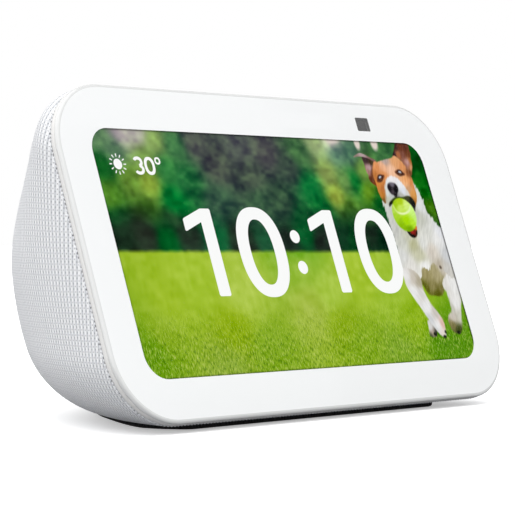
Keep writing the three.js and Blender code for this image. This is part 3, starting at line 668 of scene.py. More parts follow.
brush(
    [(40.6, 25), (42.2, 25), (44, 25.4), (46.4, 25.9), (48.6, 26.3), (49.9, 27), (51.2, 26.6),
     (52.8, 25.4), (54, 23.8),
     (54.8, 21.8), (55.3, 20.2), (55.3, 18), (55.4, 16.2), (55.1, 14.8), (54.2, 13.2), (53, 12),
     (52, 13.6), (49, 14.6),
     (44, 14), (41.6, 13.4), (40.4, 13), (39.5, 14.6), (39, 16.4), (39, 18.4), (38.8, 20), (38.9, 21.8),
     (39.8, 23.8)],
    [(41, 23.6, (226, 150, 96)), (44, 23.6, (240, 180, 140)), (45.4, 25.3, (184, 164, 156)),
     (46.6, 22.6, (244, 196, 164)),
     (50, 25.4, (226, 164, 112)), (52.6, 23.6, (222, 150, 96)), (54.6, 22.2, (140, 84, 50)),
     (39.6, 21.2, (190, 118, 60)),
     (43.4, 21, (218, 142, 86)), (48, 21.4, (240, 188, 152)), (52.4, 20, (236, 168, 110)),
     (54.6, 18.6, (216, 142, 84)),
     (51.6, 18.6, (246, 186, 136)), (40, 18.6, (214, 134, 62)), (41.4, 17.2, (190, 116, 60)),
     (40, 15.2, (200, 128, 52)),
     (40.6, 13.6, (120, 82, 40)), (54, 16, (214, 150, 76)), (53.4, 13.6, (176, 118, 50)),
     (52.4, 17.4, (206, 160, 120))],
    edge=0.3, fur=0.12, lie=70, streak=20, softness=0.9, seed=47,
)
brush(
    [(45.2, 20.7), (46.6, 21), (48.4, 20.6), (49.6, 19.7), (50.8, 18.3), (51.8, 16.8), (52.4, 15.4),
     (51.4, 14.4),
     (48, 14), (44, 13.4), (42, 12.2), (41.2, 13.4), (41.8, 15.4), (42.2, 17.2), (43, 18.8), (44, 20)],
    [(46.6, 20.4, (240, 236, 238)), (43.4, 18.4, (226, 230, 232)), (42.6, 16, (214, 218, 214)),
     (42.4, 13.8, (196, 198, 180)),
     (44.4, 15, (196, 200, 196)), (49.6, 18.4, (238, 240, 244)), (50, 16.4, (222, 228, 240)),
     (51.4, 16.2, (216, 214, 206)),
     (49, 15, (178, 180, 170)), (46, 14.9, (130, 130, 126))],
    edge=0.5, fur=0.25, lie=75, streak=14, softness=0.7, seed=49,
)
# Nose, lips and open jaw.
brush(
    [(43.4, 17.2), (43.7, 18.3), (44.6, 18.95), (45.9, 19.1), (47.2, 18.8), (47.9, 17.9), (47.8, 16.8),
     (47.1, 16),
     (46.6, 15.2), (46, 14.6), (45.3, 15.3), (44.2, 15.8)],
    [(44.4, 17.2, (30, 26, 32)), (45.9, 18.6, (112, 106, 118)), (46.6, 16.8, (16, 14, 18)),
     (45.3, 16.4, (72, 62, 70)),
     (47.2, 17.6, (24, 22, 24)), (46, 15.3, (28, 24, 26))],
    edge=0.45, softness=0.35,
)
brush(
    [(42.1, 12), (42.2, 12.9), (43.2, 13.7), (45, 14.6), (47, 14.9), (49, 14.9), (51, 15.3), (52.4, 15),
     (53.3, 14),
     (53.6, 13), (53, 11.6), (52.4, 10.8), (51, 13), (47, 13.6), (43.6, 12.8)],
    [(42.6, 12.6, (20, 20, 14)), (45, 14, (54, 70, 20)), (48, 14.6, (62, 78, 24)), (51, 14.9, (64, 68, 42)),
     (52.4, 14.2, (32, 34, 26)), (53, 12.6, (18, 22, 22)), (52.6, 11.2, (60, 62, 54))],
    edge=0.4, softness=0.4,
)
brush(
    [(46.6, 5.4), (47, 4), (48, 3.2), (49.4, 3.1), (50.6, 3.9), (51.1, 5.2), (51.2, 6.6), (49, 6.6)],
    [(47.2, 4.4, (20, 22, 16)), (48.6, 3.5, (16, 18, 14)), (48.8, 4.7, (158, 34, 30)),
     (50, 5, (128, 34, 26)),
     (50.7, 5.9, (214, 120, 34)), (47.4, 5.4, (180, 120, 60)), (50.8, 4.5, (30, 26, 20))],
    edge=0.3, softness=0.25,
)
# Eyes: a dark almond, a brown iris, and the sky's reflection.
EYES = [((41.4, 20.2), 24), ((50.5, 22.0), -10)]
for (eye_across, eye_up), slant in EYES:
    turn = math.radians(slant)

    def in_eye(x, y):
        """A point of the eye, from its middle, turned by the eye's slant."""
        return (
            eye_across + x * math.cos(turn) - y * math.sin(turn),
            eye_up + x * math.sin(turn) + y * math.cos(turn),
        )

    lid = [
        in_eye(x, y)
        for x, y in [(-2, -0.25), (-0.9, 0.7), (0.3, 1.0), (1.5, 0.5), (2.2, -0.1), (1, -0.7), (-0.5, -0.95)]
    ]
    ball = [
        in_eye(x, y) for x, y in [(-0.9, 0), (-0.3, 0.62), (0.6, 0.6), (1.1, 0.05), (0.4, -0.6), (-0.5, -0.6)]
    ]
    glint = [in_eye(x, y) for x, y in [(-0.35, 0.1), (-0.2, 0.5), (0.5, 0.5), (0.8, 0.15), (0.2, 0.0)]]
    brush(
        lid,
        [(*in_eye(-1.8, 0), (110, 62, 40)), (*in_eye(0, 0), (34, 18, 22)), (*in_eye(1.9, 0), (84, 46, 34))],
        edge=0.5,
    )
    brush(
        ball,
        [(*in_eye(0, 0.2), (38, 24, 26)), (*in_eye(0.1, -0.5), (116, 72, 40))],
        edge=0.35,
        softness=0.3,
    )
    brush(glint, [(*in_eye(0.2, 0.3), (206, 212, 226))], edge=0.35)
# The ball, lit from its upper right, with its pale seam.
turn = np.radians(np.arange(0, 360, 30))
brush(
    np.stack([47.4 + 4.95 * np.cos(turn), 9.7 + 4.85 * np.sin(turn)], 1),
    [(43.4, 9, (166, 212, 44)), (45, 6.6, (138, 190, 10)), (48, 5.4, (120, 172, 8)),
     (47.6, 8, (170, 224, 12)),
     (44.4, 13, (158, 200, 20)), (47, 13.8, (172, 206, 22)), (46.6, 11.4, (200, 232, 96)),
     (49.6, 12.6, (214, 242, 132)),
     (51.4, 10.6, (204, 248, 128)), (50.4, 7.6, (182, 232, 48)), (43, 11, (184, 224, 84)),
     (51.8, 8.4, (196, 240, 120))],
    edge=0.35, fur=0.08, lie=20, streak=12, softness=0.8, seed=51,
)
seam = [(43.9, 12.6), (44.3, 11.4), (45.2, 10.6), (46.6, 10.3), (48.2, 10.5), (49.8, 11.2),
        (50.8, 12.3), (51.2, 12.2),
        (50.2, 10.7), (48.4, 9.95), (46.6, 9.75), (44.8, 10.1), (43.8, 11.2), (43.5, 12.4)]
brush(seam, [(47, 10, (236, 250, 190)), (44, 12, (206, 232, 120)), (51, 12, (226, 248, 176))], edge=0.35)

border = np.maximum(
    np.abs(across - SCREEN_MIDDLE[0]) - SCREEN_WIDTH / 2,
    np.abs(up - SCREEN_MIDDLE[1]) - SCREEN_TALL / 2,
)
picture *= (1 - 0.45 * np.clip((border + 0.5) / 0.4, 0, 1))[:, None]
picture = np.clip(picture, 0, 255) / 255
picture = np.where(picture <= 0.04045, picture / 12.92, ((picture + 0.055) / 1.055) ** 2.4)

panel = bpy.data.meshes.new("screen_picture")
index = np.arange(len(across)).reshape(len(rows), len(columns))
quads = np.stack([index[:-1, :-1], index[:-1, 1:], index[1:, 1:], index[1:, :-1]], -1).reshape(-1, 4)
panel.from_pydata(on_face(across, up, PICTURE_BACK).tolist(), [], quads.tolist())
paint = panel.attributes.new("paint", "FLOAT_COLOR", "POINT")
paint.data.foreach_set("color", np.concatenate([picture, np.ones((len(across), 1))], 1).ravel())
flat_map = panel.uv_layers.new(name="flat")
flat_map.data.foreach_set("uv", np.stack([across, up], 1)[quads.ravel()].ravel())

lit_panel, tree, shader = start_material(
    "lit_panel",
    {
        "Base Color": (0.0, 0.0, 0.0, 1.0),
        "Roughness": 0.5,
        "Specular IOR Level": 0.0,
        "Emission Strength": 1.0,
    },
)
paint_seen = add_node(tree, "ShaderNodeAttribute", {}, attribute_name="paint")
flat_place = add_node(tree, "ShaderNodeUVMap", {}, uv_map="flat").outputs[0]
height_seen = add_node(tree, "ShaderNodeSeparateXYZ", {0: flat_place}).outputs[1]
blade_place = add_node(
    tree, "ShaderNodeMapping", {0: flat_place, "Scale": (2.6, 0.8, 1.0), "Rotation": (0, 0, 0.12)}
)
blades = noise(tree, blade_place.outputs[0], 1.0, 4.0)
near_grass = add_node(
    tree, "ShaderNodeMapRange", {0: height_seen, 1: -14.0, 2: -25.0, 3: 0.05, 4: 1.0}
).outputs[0]
is_lawn = add_node(tree, "ShaderNodeMapRange", {0: height_seen, 1: 0.0, 2: -2.0, 3: 0.0, 4: 1.0}).outputs[0]
separate = add_node(tree, "ShaderNodeSeparateColor", {0: paint_seen.outputs["Color"]})
greenness = calculate(tree, "SUBTRACT", separate.outputs[1], separate.outputs[2])
is_green = add_node(tree, "ShaderNodeMapRange", {0: greenness, 1: 0.05, 2: 0.2, 3: 0.0, 4: 1.0}).outputs[0]
blade_share = calculate(tree, "MULTIPLY", calculate(tree, "MULTIPLY", near_grass, is_lawn), is_green)
dark_blades = add_node(tree, "ShaderNodeMapRange", {0: blades, 1: 0.5, 2: 0.36, 3: 0.0, 4: 0.62}).outputs[0]
pale_blades = add_node(tree, "ShaderNodeMapRange", {0: blades, 1: 0.54, 2: 0.68, 3: 0.0, 4: 0.55}).outputs[0]
with_dark = mix_colours(
    tree, calculate(tree, "MULTIPLY", dark_blades, blade_share), paint_seen.outputs["Color"], srgb(40, 96, 8)
)
with_pale = mix_colours(
    tree, calculate(tree, "MULTIPLY", pale_blades, blade_share), with_dark, srgb(200, 212, 110)
)
tree.links.new(with_pale, shader.inputs["Emission Color"])
panel.materials.append(lit_panel)
screen_picture = bpy.data.objects.new("screen_picture", panel)
bpy.context.scene.collection.objects.link(screen_picture)
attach(screen_picture, "body")


# ---- Clock and weather on the screen -----------------------------------------------------------
# White figures that the panel lights over its picture: the time in tall rounded strokes, and a
# small sun with the temperature. Each is a thin flat shape just in front of the picture.

FIGURE_BACK = 0.14
FIGURE_THICK = 0.04
DOG_EDGE = 40.15


def stroke(path, width):
    """A band of even width along a path, as a grid of its left and right edges."""
    path = np.array(path, float)
    ahead = np.gradient(path, axis=0)
    side = np.stack([-ahead[:, 1], ahead[:, 0]], 1) / np.hypot(*ahead.T)[:, None]
    return path + side * width / 2, path - side * width / 2


def arc(middle, wide, tall, start, end, power=1.0, steps=48):
    """Points round an oval, squarer where the power is below 1; the angles are in degrees."""
    turn = np.radians(np.linspace(start, end, steps))
    x = np.sign(np.cos(turn)) * np.abs(np.cos(turn)) ** power
    y = np.sign(np.sin(turn)) * np.abs(np.sin(turn)) ** power
    return np.stack([middle[0] + wide * x, middle[1] + tall * y], 1)


def plate_of(outer, inner, place):
    """A thin closed plate between two outlines of as many points, set in place by (x, y, level)."""
    loops = [place(*outer.T, 0.0), place(*outer.T, 1.0), place(*inner.T, 1.0), place(*inner.T, 0.0)]
    return loft(loops, ring=True)


def plate_over(outline, place):
    """A thin closed plate over one outline."""
    return loft([place(*outline.T, 0.0), place(*outline.T, 1.0)])


def figure_place(x, y, level):
    """A point of the figures' layer, level 0 at its back and 1 at its front."""
    return on_face(np.minimum(x, DOG_EDGE), y, FIGURE_BACK - FIGURE_THICK * level)


def oval_figure(middle, wide, tall, stem, bar):
    """A nought: an oval band that is stem wide at its sides and bar thick at its ends."""
    outer = arc(middle, wide, tall, 0, 360, 0.86, 73)[:-1]
    inner = arc(middle, wide - stem, tall - bar, 0, 360, 0.9, 73)[:-1]
    return plate_of(outer, inner, figure_place)


def one_figure(right, low, high, stem, flag):
    """A one: an upright stem with a flag that falls to its left."""
    soft = 0.35
    corners = [
        (right - soft, high), (right, high - soft), (right, low + soft), (right - soft, low),
        (right - stem + soft, low), (right - stem, low + soft), (right - stem, high - 3.5),
        (right - flag + 0.4, high - 5.8), (right - flag, high - 5.6), (right - flag, high - 2.9),
        (right - flag + 0.3, high - 2.5), (right - stem + 0.6, high),
    ]
    return plate_over(np.array(corners), figure_place)


CLOCK_LOW = -11.9
CLOCK_HIGH = 10.7
figures = []
for group in (0.0, 45.5):
    figures.append(one_figure(-28.7 + group, CLOCK_LOW, CLOCK_HIGH, 4.0, 10.1))
    figures.append(oval_figure((-13.3 + group, -0.65), 8.45, 11.9, 4.1, 3.25))
for dot_up in (3.4, -4.9):
    figures.append(plate_over(arc((0.15, dot_up), 1.75, 1.75, 0, 360, 1.0, 33)[:-1], figure_place))
SMALL_HIGH = 23.85
SMALL_TALL = 4.65
SMALL_STROKE = 0.8
figures.append(
    oval_figure((-45.4, SMALL_HIGH - SMALL_TALL / 2), 1.72, SMALL_TALL / 2, SMALL_STROKE, SMALL_STROKE)
)
figures.append(oval_figure((-42.4, SMALL_HIGH - 0.95), 0.95, 0.95, 0.45, 0.45))
bowl = SMALL_TALL / 4 - SMALL_STROKE / 4
upper_bowl = arc((-49.1, SMALL_HIGH - SMALL_STROKE / 2 - bowl), 1.15, bowl, 155, -80, 0.9, 26)
lower_bowl = arc((-49.1, SMALL_HIGH - SMALL_TALL + SMALL_STROKE / 2 + bowl), 1.22, bowl, 80, -155, 0.9, 26)
for bowl_path in (upper_bowl, lower_bowl):
    left_edge, right_edge = stroke(bowl_path, SMALL_STROKE)
    figures.append(plate_over(np.concatenate([left_edge, right_edge[::-1]]), figure_place))
SUN = (-55.9, 21.75)
figures.append(plate_over(arc(SUN, 1.35, 1.35, 0, 360, 1.0, 33)[:-1], figure_place))
for ray in np.radians(np.arange(0, 360, 30)):
    ahead = np.array([math.cos(ray), math.sin(ray)])
    side = np.array([-ahead[1], ahead[0]])
    ray_shape = [
        ahead * r + side * s for r, s in [(1.85, -0.1), (2.62, -0.17), (2.7, 0), (2.62, 0.17), (1.85, 0.1)]
    ]
    figures.append(plate_over(np.array(SUN) + np.array(ray_shape), figure_place))

lit_white, tree, shader = start_material(
    "lit_white",
    {
        "Base Color": (0.0, 0.0, 0.0, 1.0),
        "Roughness": 0.5,
        "Specular IOR Level": 0.0,
        "Emission Strength": 1.0,
    },
)
place = add_node(tree, "ShaderNodeTexCoord", {}).outputs["Object"]
dots = noise(tree, place, 2500.0, 1.0)
tree.links.new(
    mix_colours(tree, dots, srgb(250, 252, 250), srgb(255, 255, 255)), shader.inputs["Emission Color"]
)
screen_figures = make_mesh("screen_figures", *join_shells(figures), [lit_white])
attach(screen_figures, "body")


# ---- White ring --------------------------------------------------------------------------------
# A moulded ring that frames the glass and covers the edge of the knit, with a low skirt inside
# that clips into the housing. Its corners are rounded by the mould, and it is finely textured.

RING_PROFILE = [
    (0.75, 1.12), (0.4, 1.13), (0.16, 1.2), (0.03, 1.36), (0.0, 1.6), (0.0, 2.1), (0.05, 2.34), (0.2, 2.5),
    (4.2, 2.52), (4.2, 4.0), (5.8, 4.0), (5.8, 1.4), (0.95, 1.4), (0.95, 1.14),
]
white_plastic = grained("white_plastic", srgb(226, 225, 223), 0.012, 0.36, 2600.0, 0.000012)
ring_loops = [on_face(*face_outline(inset).T, back) for inset, back in RING_PROFILE]
front_ring = make_mesh("ring", *loft(ring_loops, ring=True), [white_plastic])
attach(front_ring, "body")
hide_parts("front_ring")


# ---- Knitted cover -----------------------------------------------------------------------------
# A tube of fine white knit pulled over the domed housing: it starts behind the ring, wraps the
# whole back, and turns under the base as far as the foot. Its ribs run up from below the base.

COVER_START = 2.8
COVER_LOW = 2.0
WIDEST_Z = 36.0
FLAT_REAR = 12.0
COVER_TOP = FACE_Z - COVER_START * SIN_TILT + FACE_TALL / 2 * COS_TILT
RIB_PITCH = 1.45
STITCH_PITCH = 1.32


def up_at(z):
    """How far up the face's slope the ring's back is at a height."""
    return (z - FACE_Z + COVER_START * SIN_TILT) / COS_TILT


def front_at(z):
    """The cover's foremost Y at a height."""
    return FACE_Y + COVER_START * COS_TILT + up_at(z) * SIN_TILT


def half_width_at(z):
    """Half the cover's width at a height, which follows the ring's round corners."""
    reach = np.clip(np.abs(up_at(z)) - (FACE_TALL / 2 - FACE_CORNER), 0, FACE_CORNER)
    return WIDTH / 2 - FACE_CORNER + np.sqrt(FACE_CORNER**2 - reach**2)


def bezier(corners, t):
    """Points on a cubic curve."""
    p0, p1, p2, p3 = (np.array(corner) for corner in corners)
    t = np.asarray(t)[..., None]
    return (1 - t) ** 3 * p0 + 3 * (1 - t) ** 2 * t * p1 + 3 * (1 - t) * t**2 * p2 + t**3 * p3


TOP_FRONT = front_at(COVER_TOP)
REARMOST = (DEPTH / 2, WIDEST_Z)
UPPER_SIDE = [
    (TOP_FRONT, COVER_TOP), (TOP_FRONT + 41, COVER_TOP - 12.3), (DEPTH / 2, WIDEST_Z + 11.8), REARMOST,
]
LOWER_SIDE = [
    REARMOST, (DEPTH / 2, WIDEST_Z - 11.5), (FLAT_REAR + 26.5, COVER_LOW), (FLAT_REAR, COVER_LOW),
]


def squareness(z):
    """The power of a level's outline: nearly an ellipse at the middle and squarer at the top."""
    high = np.clip((z - WIDEST_Z) / (COVER_TOP - WIDEST_Z), 0, None)
    return 2 / (1.8 + 2.1 * high**10)


def cover_point(down, turn):
    """The cover's surface: down runs 0 to 2 from top to base, turn -90 to 90 degrees round the back."""
    upper = bezier(UPPER_SIDE, np.clip(down, 0, 1))
    lower = bezier(LOWER_SIDE, np.clip(down - 1, 0, 1))
    rear, z = np.moveaxis(np.where((down < 1)[..., None], upper, lower), -1, 0)
    power = squareness(z)
    side = np.sign(turn) * np.abs(np.sin(turn)) ** power
    back = np.clip(np.cos(turn), 0, None) ** power
    return np.stack([half_width_at(z) * side, front_at(z) + (rear - front_at(z)) * back, z], -1)


def foot_outline(inset, steps=24):
    """The foot's outline, straight in front and narrowing to a round rear, from its left front."""
    front = 7.1 - DEPTH / 2 + inset
    rear = 20.4 - inset
    wide = 51.1 - inset
    taper = 37.2 - inset * 0.87
    taper_y = 1.8 - inset * 0.3
    curves = [
        [(wide - 6.1, front), (wide - 3.9, front), (wide - 0.5, front + 4.4), (wide, front + 10.9)],
        [(wide, front + 10.9), (wide, front + 16.4), (taper + 3.3, taper_y - 5.8), (taper, taper_y)],
        [(taper, taper_y), (taper - 6.2, taper_y + 10.1), (taper - 13.2, rear), (0, rear)],
    ]
    right = np.concatenate([bezier(curve, np.arange(steps) / steps) for curve in curves])
    left = right[1:][::-1] * (-1, 1)
    return np.concatenate([right, [(0, rear)], left, [(6.1 - wide, front)]])


upper_rows = np.linspace(0, 1, 78) ** 1.5
cover_downs = np.concatenate([upper_rows, 1 + np.linspace(0, 1, 44)[1:]])
cover_turns = np.radians(np.linspace(-90, 90, 181))
cover_grid = cover_point(*np.meshgrid(cover_downs, cover_turns, indexing="ij"))

# Behind the ring the knit turns in, and under the base it runs flat to the foot's edge.
foot_edge = foot_outline(3.2)
foot_half = foot_edge[foot_edge[:, 0] <= 0.001]
foot_share = np.abs(cover_turns) / (math.pi / 2)
foot_x, foot_y = (
    np.interp(foot_share, np.linspace(0, 1, len(foot_half)), foot_half[:, axis]) for axis in (0, 1)
)
foot_target = np.stack([np.abs(foot_x) * np.sign(cover_turns), foot_y, np.full(len(foot_x), COVER_LOW)], -1)
under = [cover_grid[-1] + (foot_target - cover_grid[-1]) * step for step in np.linspace(0, 1, 16)[1:]]
cover_grid = np.concatenate([cover_grid, under])

step_across = np.linalg.norm(np.diff(cover_grid, axis=1), axis=-1)
step_down = np.linalg.norm(np.diff(cover_grid, axis=0), axis=-1)
widest_row = len(upper_rows) - 1
# Ribs are spread evenly from the middle of the back, and stand upright where the tilted ring cuts them.
row_along = np.concatenate([np.zeros((len(cover_grid), 1)), np.cumsum(step_across, axis=1)], axis=1)
row_share = 2 * row_along / row_along[:, -1:] - 1
ring_shift = front_at(WIDEST_Z) - front_at(cover_grid[:, :1, 2])
rib_place = row_share * row_along[widest_row, -1] / 2 + np.sign(row_share) * row_share**4 * ring_shift
stitch_place = np.concatenate([np.zeros((1, len(cover_turns))), np.cumsum(step_down, axis=0)])
stitch_place = stitch_place - stitch_place[widest_row]

turned_in = cover_grid[:, [0, -1]].copy()
turned_in[..., 0] -= np.sign(turned_in[..., 0]) * 1.6
cover_grid = np.concatenate([turned_in[:, :1], cover_grid, turned_in[:, 1:]], axis=1)
rib_place = np.concatenate([rib_place[:, :1] - 1.6, rib_place, rib_place[:, -1:] + 1.6], axis=1)
stitch_place = np.concatenate([stitch_place[:, :1], stitch_place, stitch_place[:, -1:]], axis=1)

knit, tree, shader = start_material(
    "white_knit",
    {"Roughness": 0.85, "Sheen Weight": 0.5, "Sheen Roughness": 0.4, "Specular IOR Level": 0.25},
)
thread_place = add_node(tree, "ShaderNodeUVMap", {}, uv_map="threads").outputs[0]
wander = add_node(tree, "ShaderNodeTexNoise", {"Vector": thread_place, "Scale": 0.35, "Detail": 2.0})
wander_small = add_node(
    tree, "ShaderNodeVectorMath", {0: wander.outputs["Color"], 1: (0.5, 0.5, 0.5)}, operation="SUBTRACT"
)
wander_scaled = add_node(
    tree, "ShaderNodeVectorMath", {0: wander_small.outputs[0], "Scale": 0.35}, operation="SCALE"
)
wandered = add_node(
    tree, "ShaderNodeVectorMath", {0: thread_place, 1: wander_scaled.outputs[0]}, operation="ADD"
)
rib_seen, stitch_seen, _ = add_node(tree, "ShaderNodeSeparateXYZ", {0: wandered.outputs[0]}).outputs
rib_turn = calculate(tree, "MULTIPLY", rib_seen, 2 * math.pi / RIB_PITCH)
stitch_turn = calculate(tree, "MULTIPLY", stitch_seen, 2 * math.pi / STITCH_PITCH)
rib_wave = calculate(tree, "COSINE", rib_turn)
mesh_wave = calculate(tree, "MULTIPLY", rib_wave, calculate(tree, "COSINE", stitch_turn))
opening = add_node(tree, "ShaderNodeMapRange", {0: mesh_wave, 1: 0.4, 2: 0.95, 3: 0.0, 4: 1.0}).outputs[0]
# The valleys between the ribs are painted a bluish grey: painted shade in the creases of the white yarn.
valley_shade = add_node(tree, "ShaderNodeMapRange", {0: rib_wave, 1: -0.3, 2: 1.0, 3: 0.0, 4: 0.7}).outputs[0]
fibres = noise(tree, thread_place, 9.0, 3.0)
ridged = calculate(tree, "MULTIPLY_ADD", rib_wave, -0.7, calculate(tree, "MULTIPLY", opening, -0.5))
knit_high = calculate(tree, "MULTIPLY_ADD", fibres, 0.25, ridged)
yarn_tone = mix_colours(tree, fibres, srgb(244, 246, 248), srgb(254, 254, 255))
with_valley_shade = mix_colours(tree, valley_shade, yarn_tone, srgb(176, 180, 187))
# The openings are painted dark grey: partly the dark housing seen through the knit, and partly painted shade
# inside the openings.
knit_colour = mix_colours(tree, calculate(tree, "MULTIPLY", opening, 0.6), with_valley_shade, srgb(96, 98, 106))
tree.links.new(knit_colour, shader.inputs["Base Color"])
knit_rough = calculate(tree, "MULTIPLY_ADD", fibres, 0.2, 0.75)
tree.links.new(knit_rough, shader.inputs["Roughness"])
knit_bump = add_node(tree, "ShaderNodeBump", {"Distance": 0.00022, "Height": knit_high, "Strength": 0.8})
tree.links.new(knit_bump.outputs[0], shader.inputs["Normal"])


def sheet_faces(row_count, column_count):
    """The quads of a grid of points, row after row."""
    index = np.arange(row_count * column_count).reshape(row_count, column_count)
    corners = [index[:-1, :-1], index[1:, :-1], index[1:, 1:], index[:-1, 1:]]
    return np.stack(corners, -1).reshape(-1, 4)


cover_faces = sheet_faces(*cover_grid.shape[:2])
cover_mesh = bpy.data.meshes.new("cover")
cover_mesh.from_pydata((cover_grid.reshape(-1, 3) * MM).tolist(), [], cover_faces.tolist())
threads = cover_mesh.uv_layers.new(name="threads")
thread_points = np.stack([rib_place.ravel(), stitch_place.ravel()], 1)
threads.data.foreach_set("uv", thread_points[cover_faces.ravel()].ravel())
cover_mesh.shade_smooth()
cover_mesh.materials.append(knit)
knitted_cover = bpy.data.objects.new("knitted_cover", cover_mesh)
bpy.context.scene.collection.objects.link(knitted_cover)
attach(knitted_cover, "body")
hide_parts("fabric_cover")


# ---- Hem of the cover --------------------------------------------------------------------------
# The knit's raw edge is bound by a row of close white stitches that follows the ring all round.
# Each stitch is a small plump loop of yarn, and the row sinks halfway into the cover's edge.

HEM_BACK = 2.85
HEM_INSET = 0.3


def repeat_tree(name, shape_kind, material):
    """A tree that sets a shape all along a path: Pitch between copies, and Long, Deep and Tall."""
    tree = bpy.data.node_groups.new(name, "GeometryNodeTree")
    tree.interface.new_socket("Geometry", in_out="INPUT", socket_type="NodeSocketGeometry")
    for size in ("Pitch", "Long", "Deep", "Tall"):
        tree.interface.new_socket(size, in_out="INPUT", socket_type="NodeSocketFloat")
    tree.interface.new_socket("Geometry", in_out="OUTPUT", socket_type="NodeSocketGeometry")
    given = tree.nodes.new("NodeGroupInput").outputs
    path = add_node(tree, "GeometryNodeMeshToCurve", {"Mesh": given["Geometry"]}).outputs[0]
    spaced = add_node(
        tree, "GeometryNodeResampleCurve", {"Curve": path, "Length": given["Pitch"]}, mode="LENGTH"
    )
    tangent = tree.nodes.new("GeometryNodeInputTangent").outputs[0]
    turned = add_node(tree, "FunctionNodeAlignRotationToVector", {"Vector": tangent}, axis="X")
    size = add_node(tree, "ShaderNodeCombineXYZ", {0: given["Long"], 1: given["Deep"], 2: given["Tall"]})
    shape = tree.nodes.new(shape_kind).outputs["Mesh"]
    copies = add_node(
        tree,
        "GeometryNodeInstanceOnPoints",
        {
            "Points": spaced.outputs[0],
            "Instance": shape,
            "Rotation": turned.outputs[0],
            "Scale": size.outputs[0],
        },
    )
    real = add_node(tree, "GeometryNodeRealizeInstances", {"Geometry": copies.outputs[0]})
    finished = add_node(tree, "GeometryNodeSetMaterial", {"Geometry": real.outputs[0], "Material": material})
    tree.links.new(finished.outputs[0], tree.nodes.new("NodeGroupOutput").inputs[0])
    return tree


def repeat_along(name, loop, tree, sizes):
    """A plain mesh of the tree's copies along a closed loop of points."""
    path = bpy.data.meshes.new(name)
    count = len(loop)
    path.from_pydata([tuple(point) for point in loop], [(k, (k + 1) % count) for k in range(count)], [])
    piece = bpy.data.objects.new(name, path)
    bpy.context.scene.collection.objects.link(piece)
    copier = piece.modifiers.new("copies", "NODES")
    copier.node_group = tree
    for item in tree.interface.items_tree:
        if item.in_out == "INPUT" and item.name in sizes:
            copier[item.identifier] = sizes[item.name] * MM
    solid = bpy.data.meshes.new_from_object(piece.evaluated_get(bpy.context.evaluated_depsgraph_get()))
    piece.modifiers.remove(copier)
    piece.data = solid
    solid.shade_smooth()
    return piece


hem_yarn = grained("hem_yarn", srgb(236, 238, 241), 0.05, 0.85, 3200.0, 0.00006, {"Sheen Weight": 0.4})
hem_tree = repeat_tree("hem_stitches", "GeometryNodeMeshIcoSphere", hem_yarn)
hem_sizes = {"Pitch": 1.1, "Long": 0.5, "Deep": 0.34, "Tall": 0.34}
hem = repeat_along("cover_hem", on_face(*face_outline(HEM_INSET).T, HEM_BACK), hem_tree, hem_sizes)
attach(hem, "body")


# ---- Rubber foot -------------------------------------------------------------------------------
# One moulded black rubber foot under the base, which grips the table. Its edge is rounded and
# finely ribbed, and a groove runs round its tread a few millimetres in.

FOOT_PROFILE = [
    (3.6, 2.1), (0.3, 2.1), (0.05, 2.0), (0.0, 1.8), (0.0, 0.3), (0.1, 0.12), (0.35, 0.0), (3.0, 0.0),
    (3.2, 0.1), (3.3, 0.35), (3.9, 0.35), (4.0, 0.1), (4.2, 0.0),
]
black_rubber = grained(
    "black_rubber", srgb(30, 30, 31), 0.25, 0.7, 1400.0, 0.00004, {"Specular IOR Level": 0.35}
)
foot_loops = []
for inset, z in FOOT_PROFILE:
    outline = foot_outline(inset)
    foot_loops.append(np.column_stack([outline, np.full(len(outline), z)]) * MM)
rubber_foot = make_mesh("foot", *loft(foot_loops), [black_rubber], sharp=20.0)
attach(rubber_foot, "body")
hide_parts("rubber_foot")

foot_side = foot_outline(0.02)
foot_loop = np.column_stack([foot_side, np.full(len(foot_side), 1.0)]) * MM
rib_tree = repeat_tree("foot_ribs", "GeometryNodeMeshCube", black_rubber)
rib_sizes = {"Pitch": 1.0, "Long": 0.45, "Deep": 0.3, "Tall": 1.1}
foot_ribs = repeat_along("foot_ribs", foot_loop, rib_tree, rib_sizes)
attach(foot_ribs, "body")


# ---- Control strip, buttons and their marks ----------------------------------------------------
# A long rounded strip of the ring's plastic, let into the knit on top. It has wells for three
# sprung buttons, a slot for the shutter's knob and two microphone holes. The marks are printed.

STRIP_WIDE = 100.0
STRIP_DEEP = 11.0
STRIP_BACK = 9.7
STRIP_TOP = FACE_TALL / 2 + 0.4
BUTTON_WIDE = 12.0
BUTTON_DEEP = 5.6
BUTTON_TOP = STRIP_TOP + 0.7
BUTTON_GAP = 0.3
BUTTON_PLACES = {"mute_button": -38.0, "volume_down_button": -18.0, "volume_up_button": 0.0}
MICROPHONE_PLACES = (-28.0, 13.0)
SHUTTER_TRAVEL = 7.6
SHUTTER_REST = WINDOW_MIDDLE[0] - SHUTTER_TRAVEL


def pill(wide, deep, x, up_height, steps=14):
    """A pill-shaped loop across the top, at a height up the face's slope."""
    across_top, back = rounded_outline(wide, deep, deep / 2 - 0.001, steps, (x, STRIP_BACK)).T
    return on_face(across_top, up_height, back)


def pill_block(wide, deep, x, profile, steps=14):
    """A closed pill from (inset, height) pairs, bottom first."""
    return loft([pill(wide - 2 * inset, deep - 2 * inset, x, high, steps) for inset, high in profile])


def cut_out(piece, cutters):
    """Takes the cutters' shapes out of a piece and throws the cutters away."""
    tool = make_mesh("cutter", *join_shells(cutters), [])
    cut = piece.modifiers.new("cut", "BOOLEAN")
    cut.object = tool
    cut.solver = "EXACT"
    cut.use_self = False
    result = bpy.data.meshes.new_from_object(piece.evaluated_get(bpy.context.evaluated_depsgraph_get()))
    result.set_sharp_from_angle(angle=math.radians(35))
    piece.modifiers.remove(cut)
    piece.data = result
    bpy.data.objects.remove(tool)


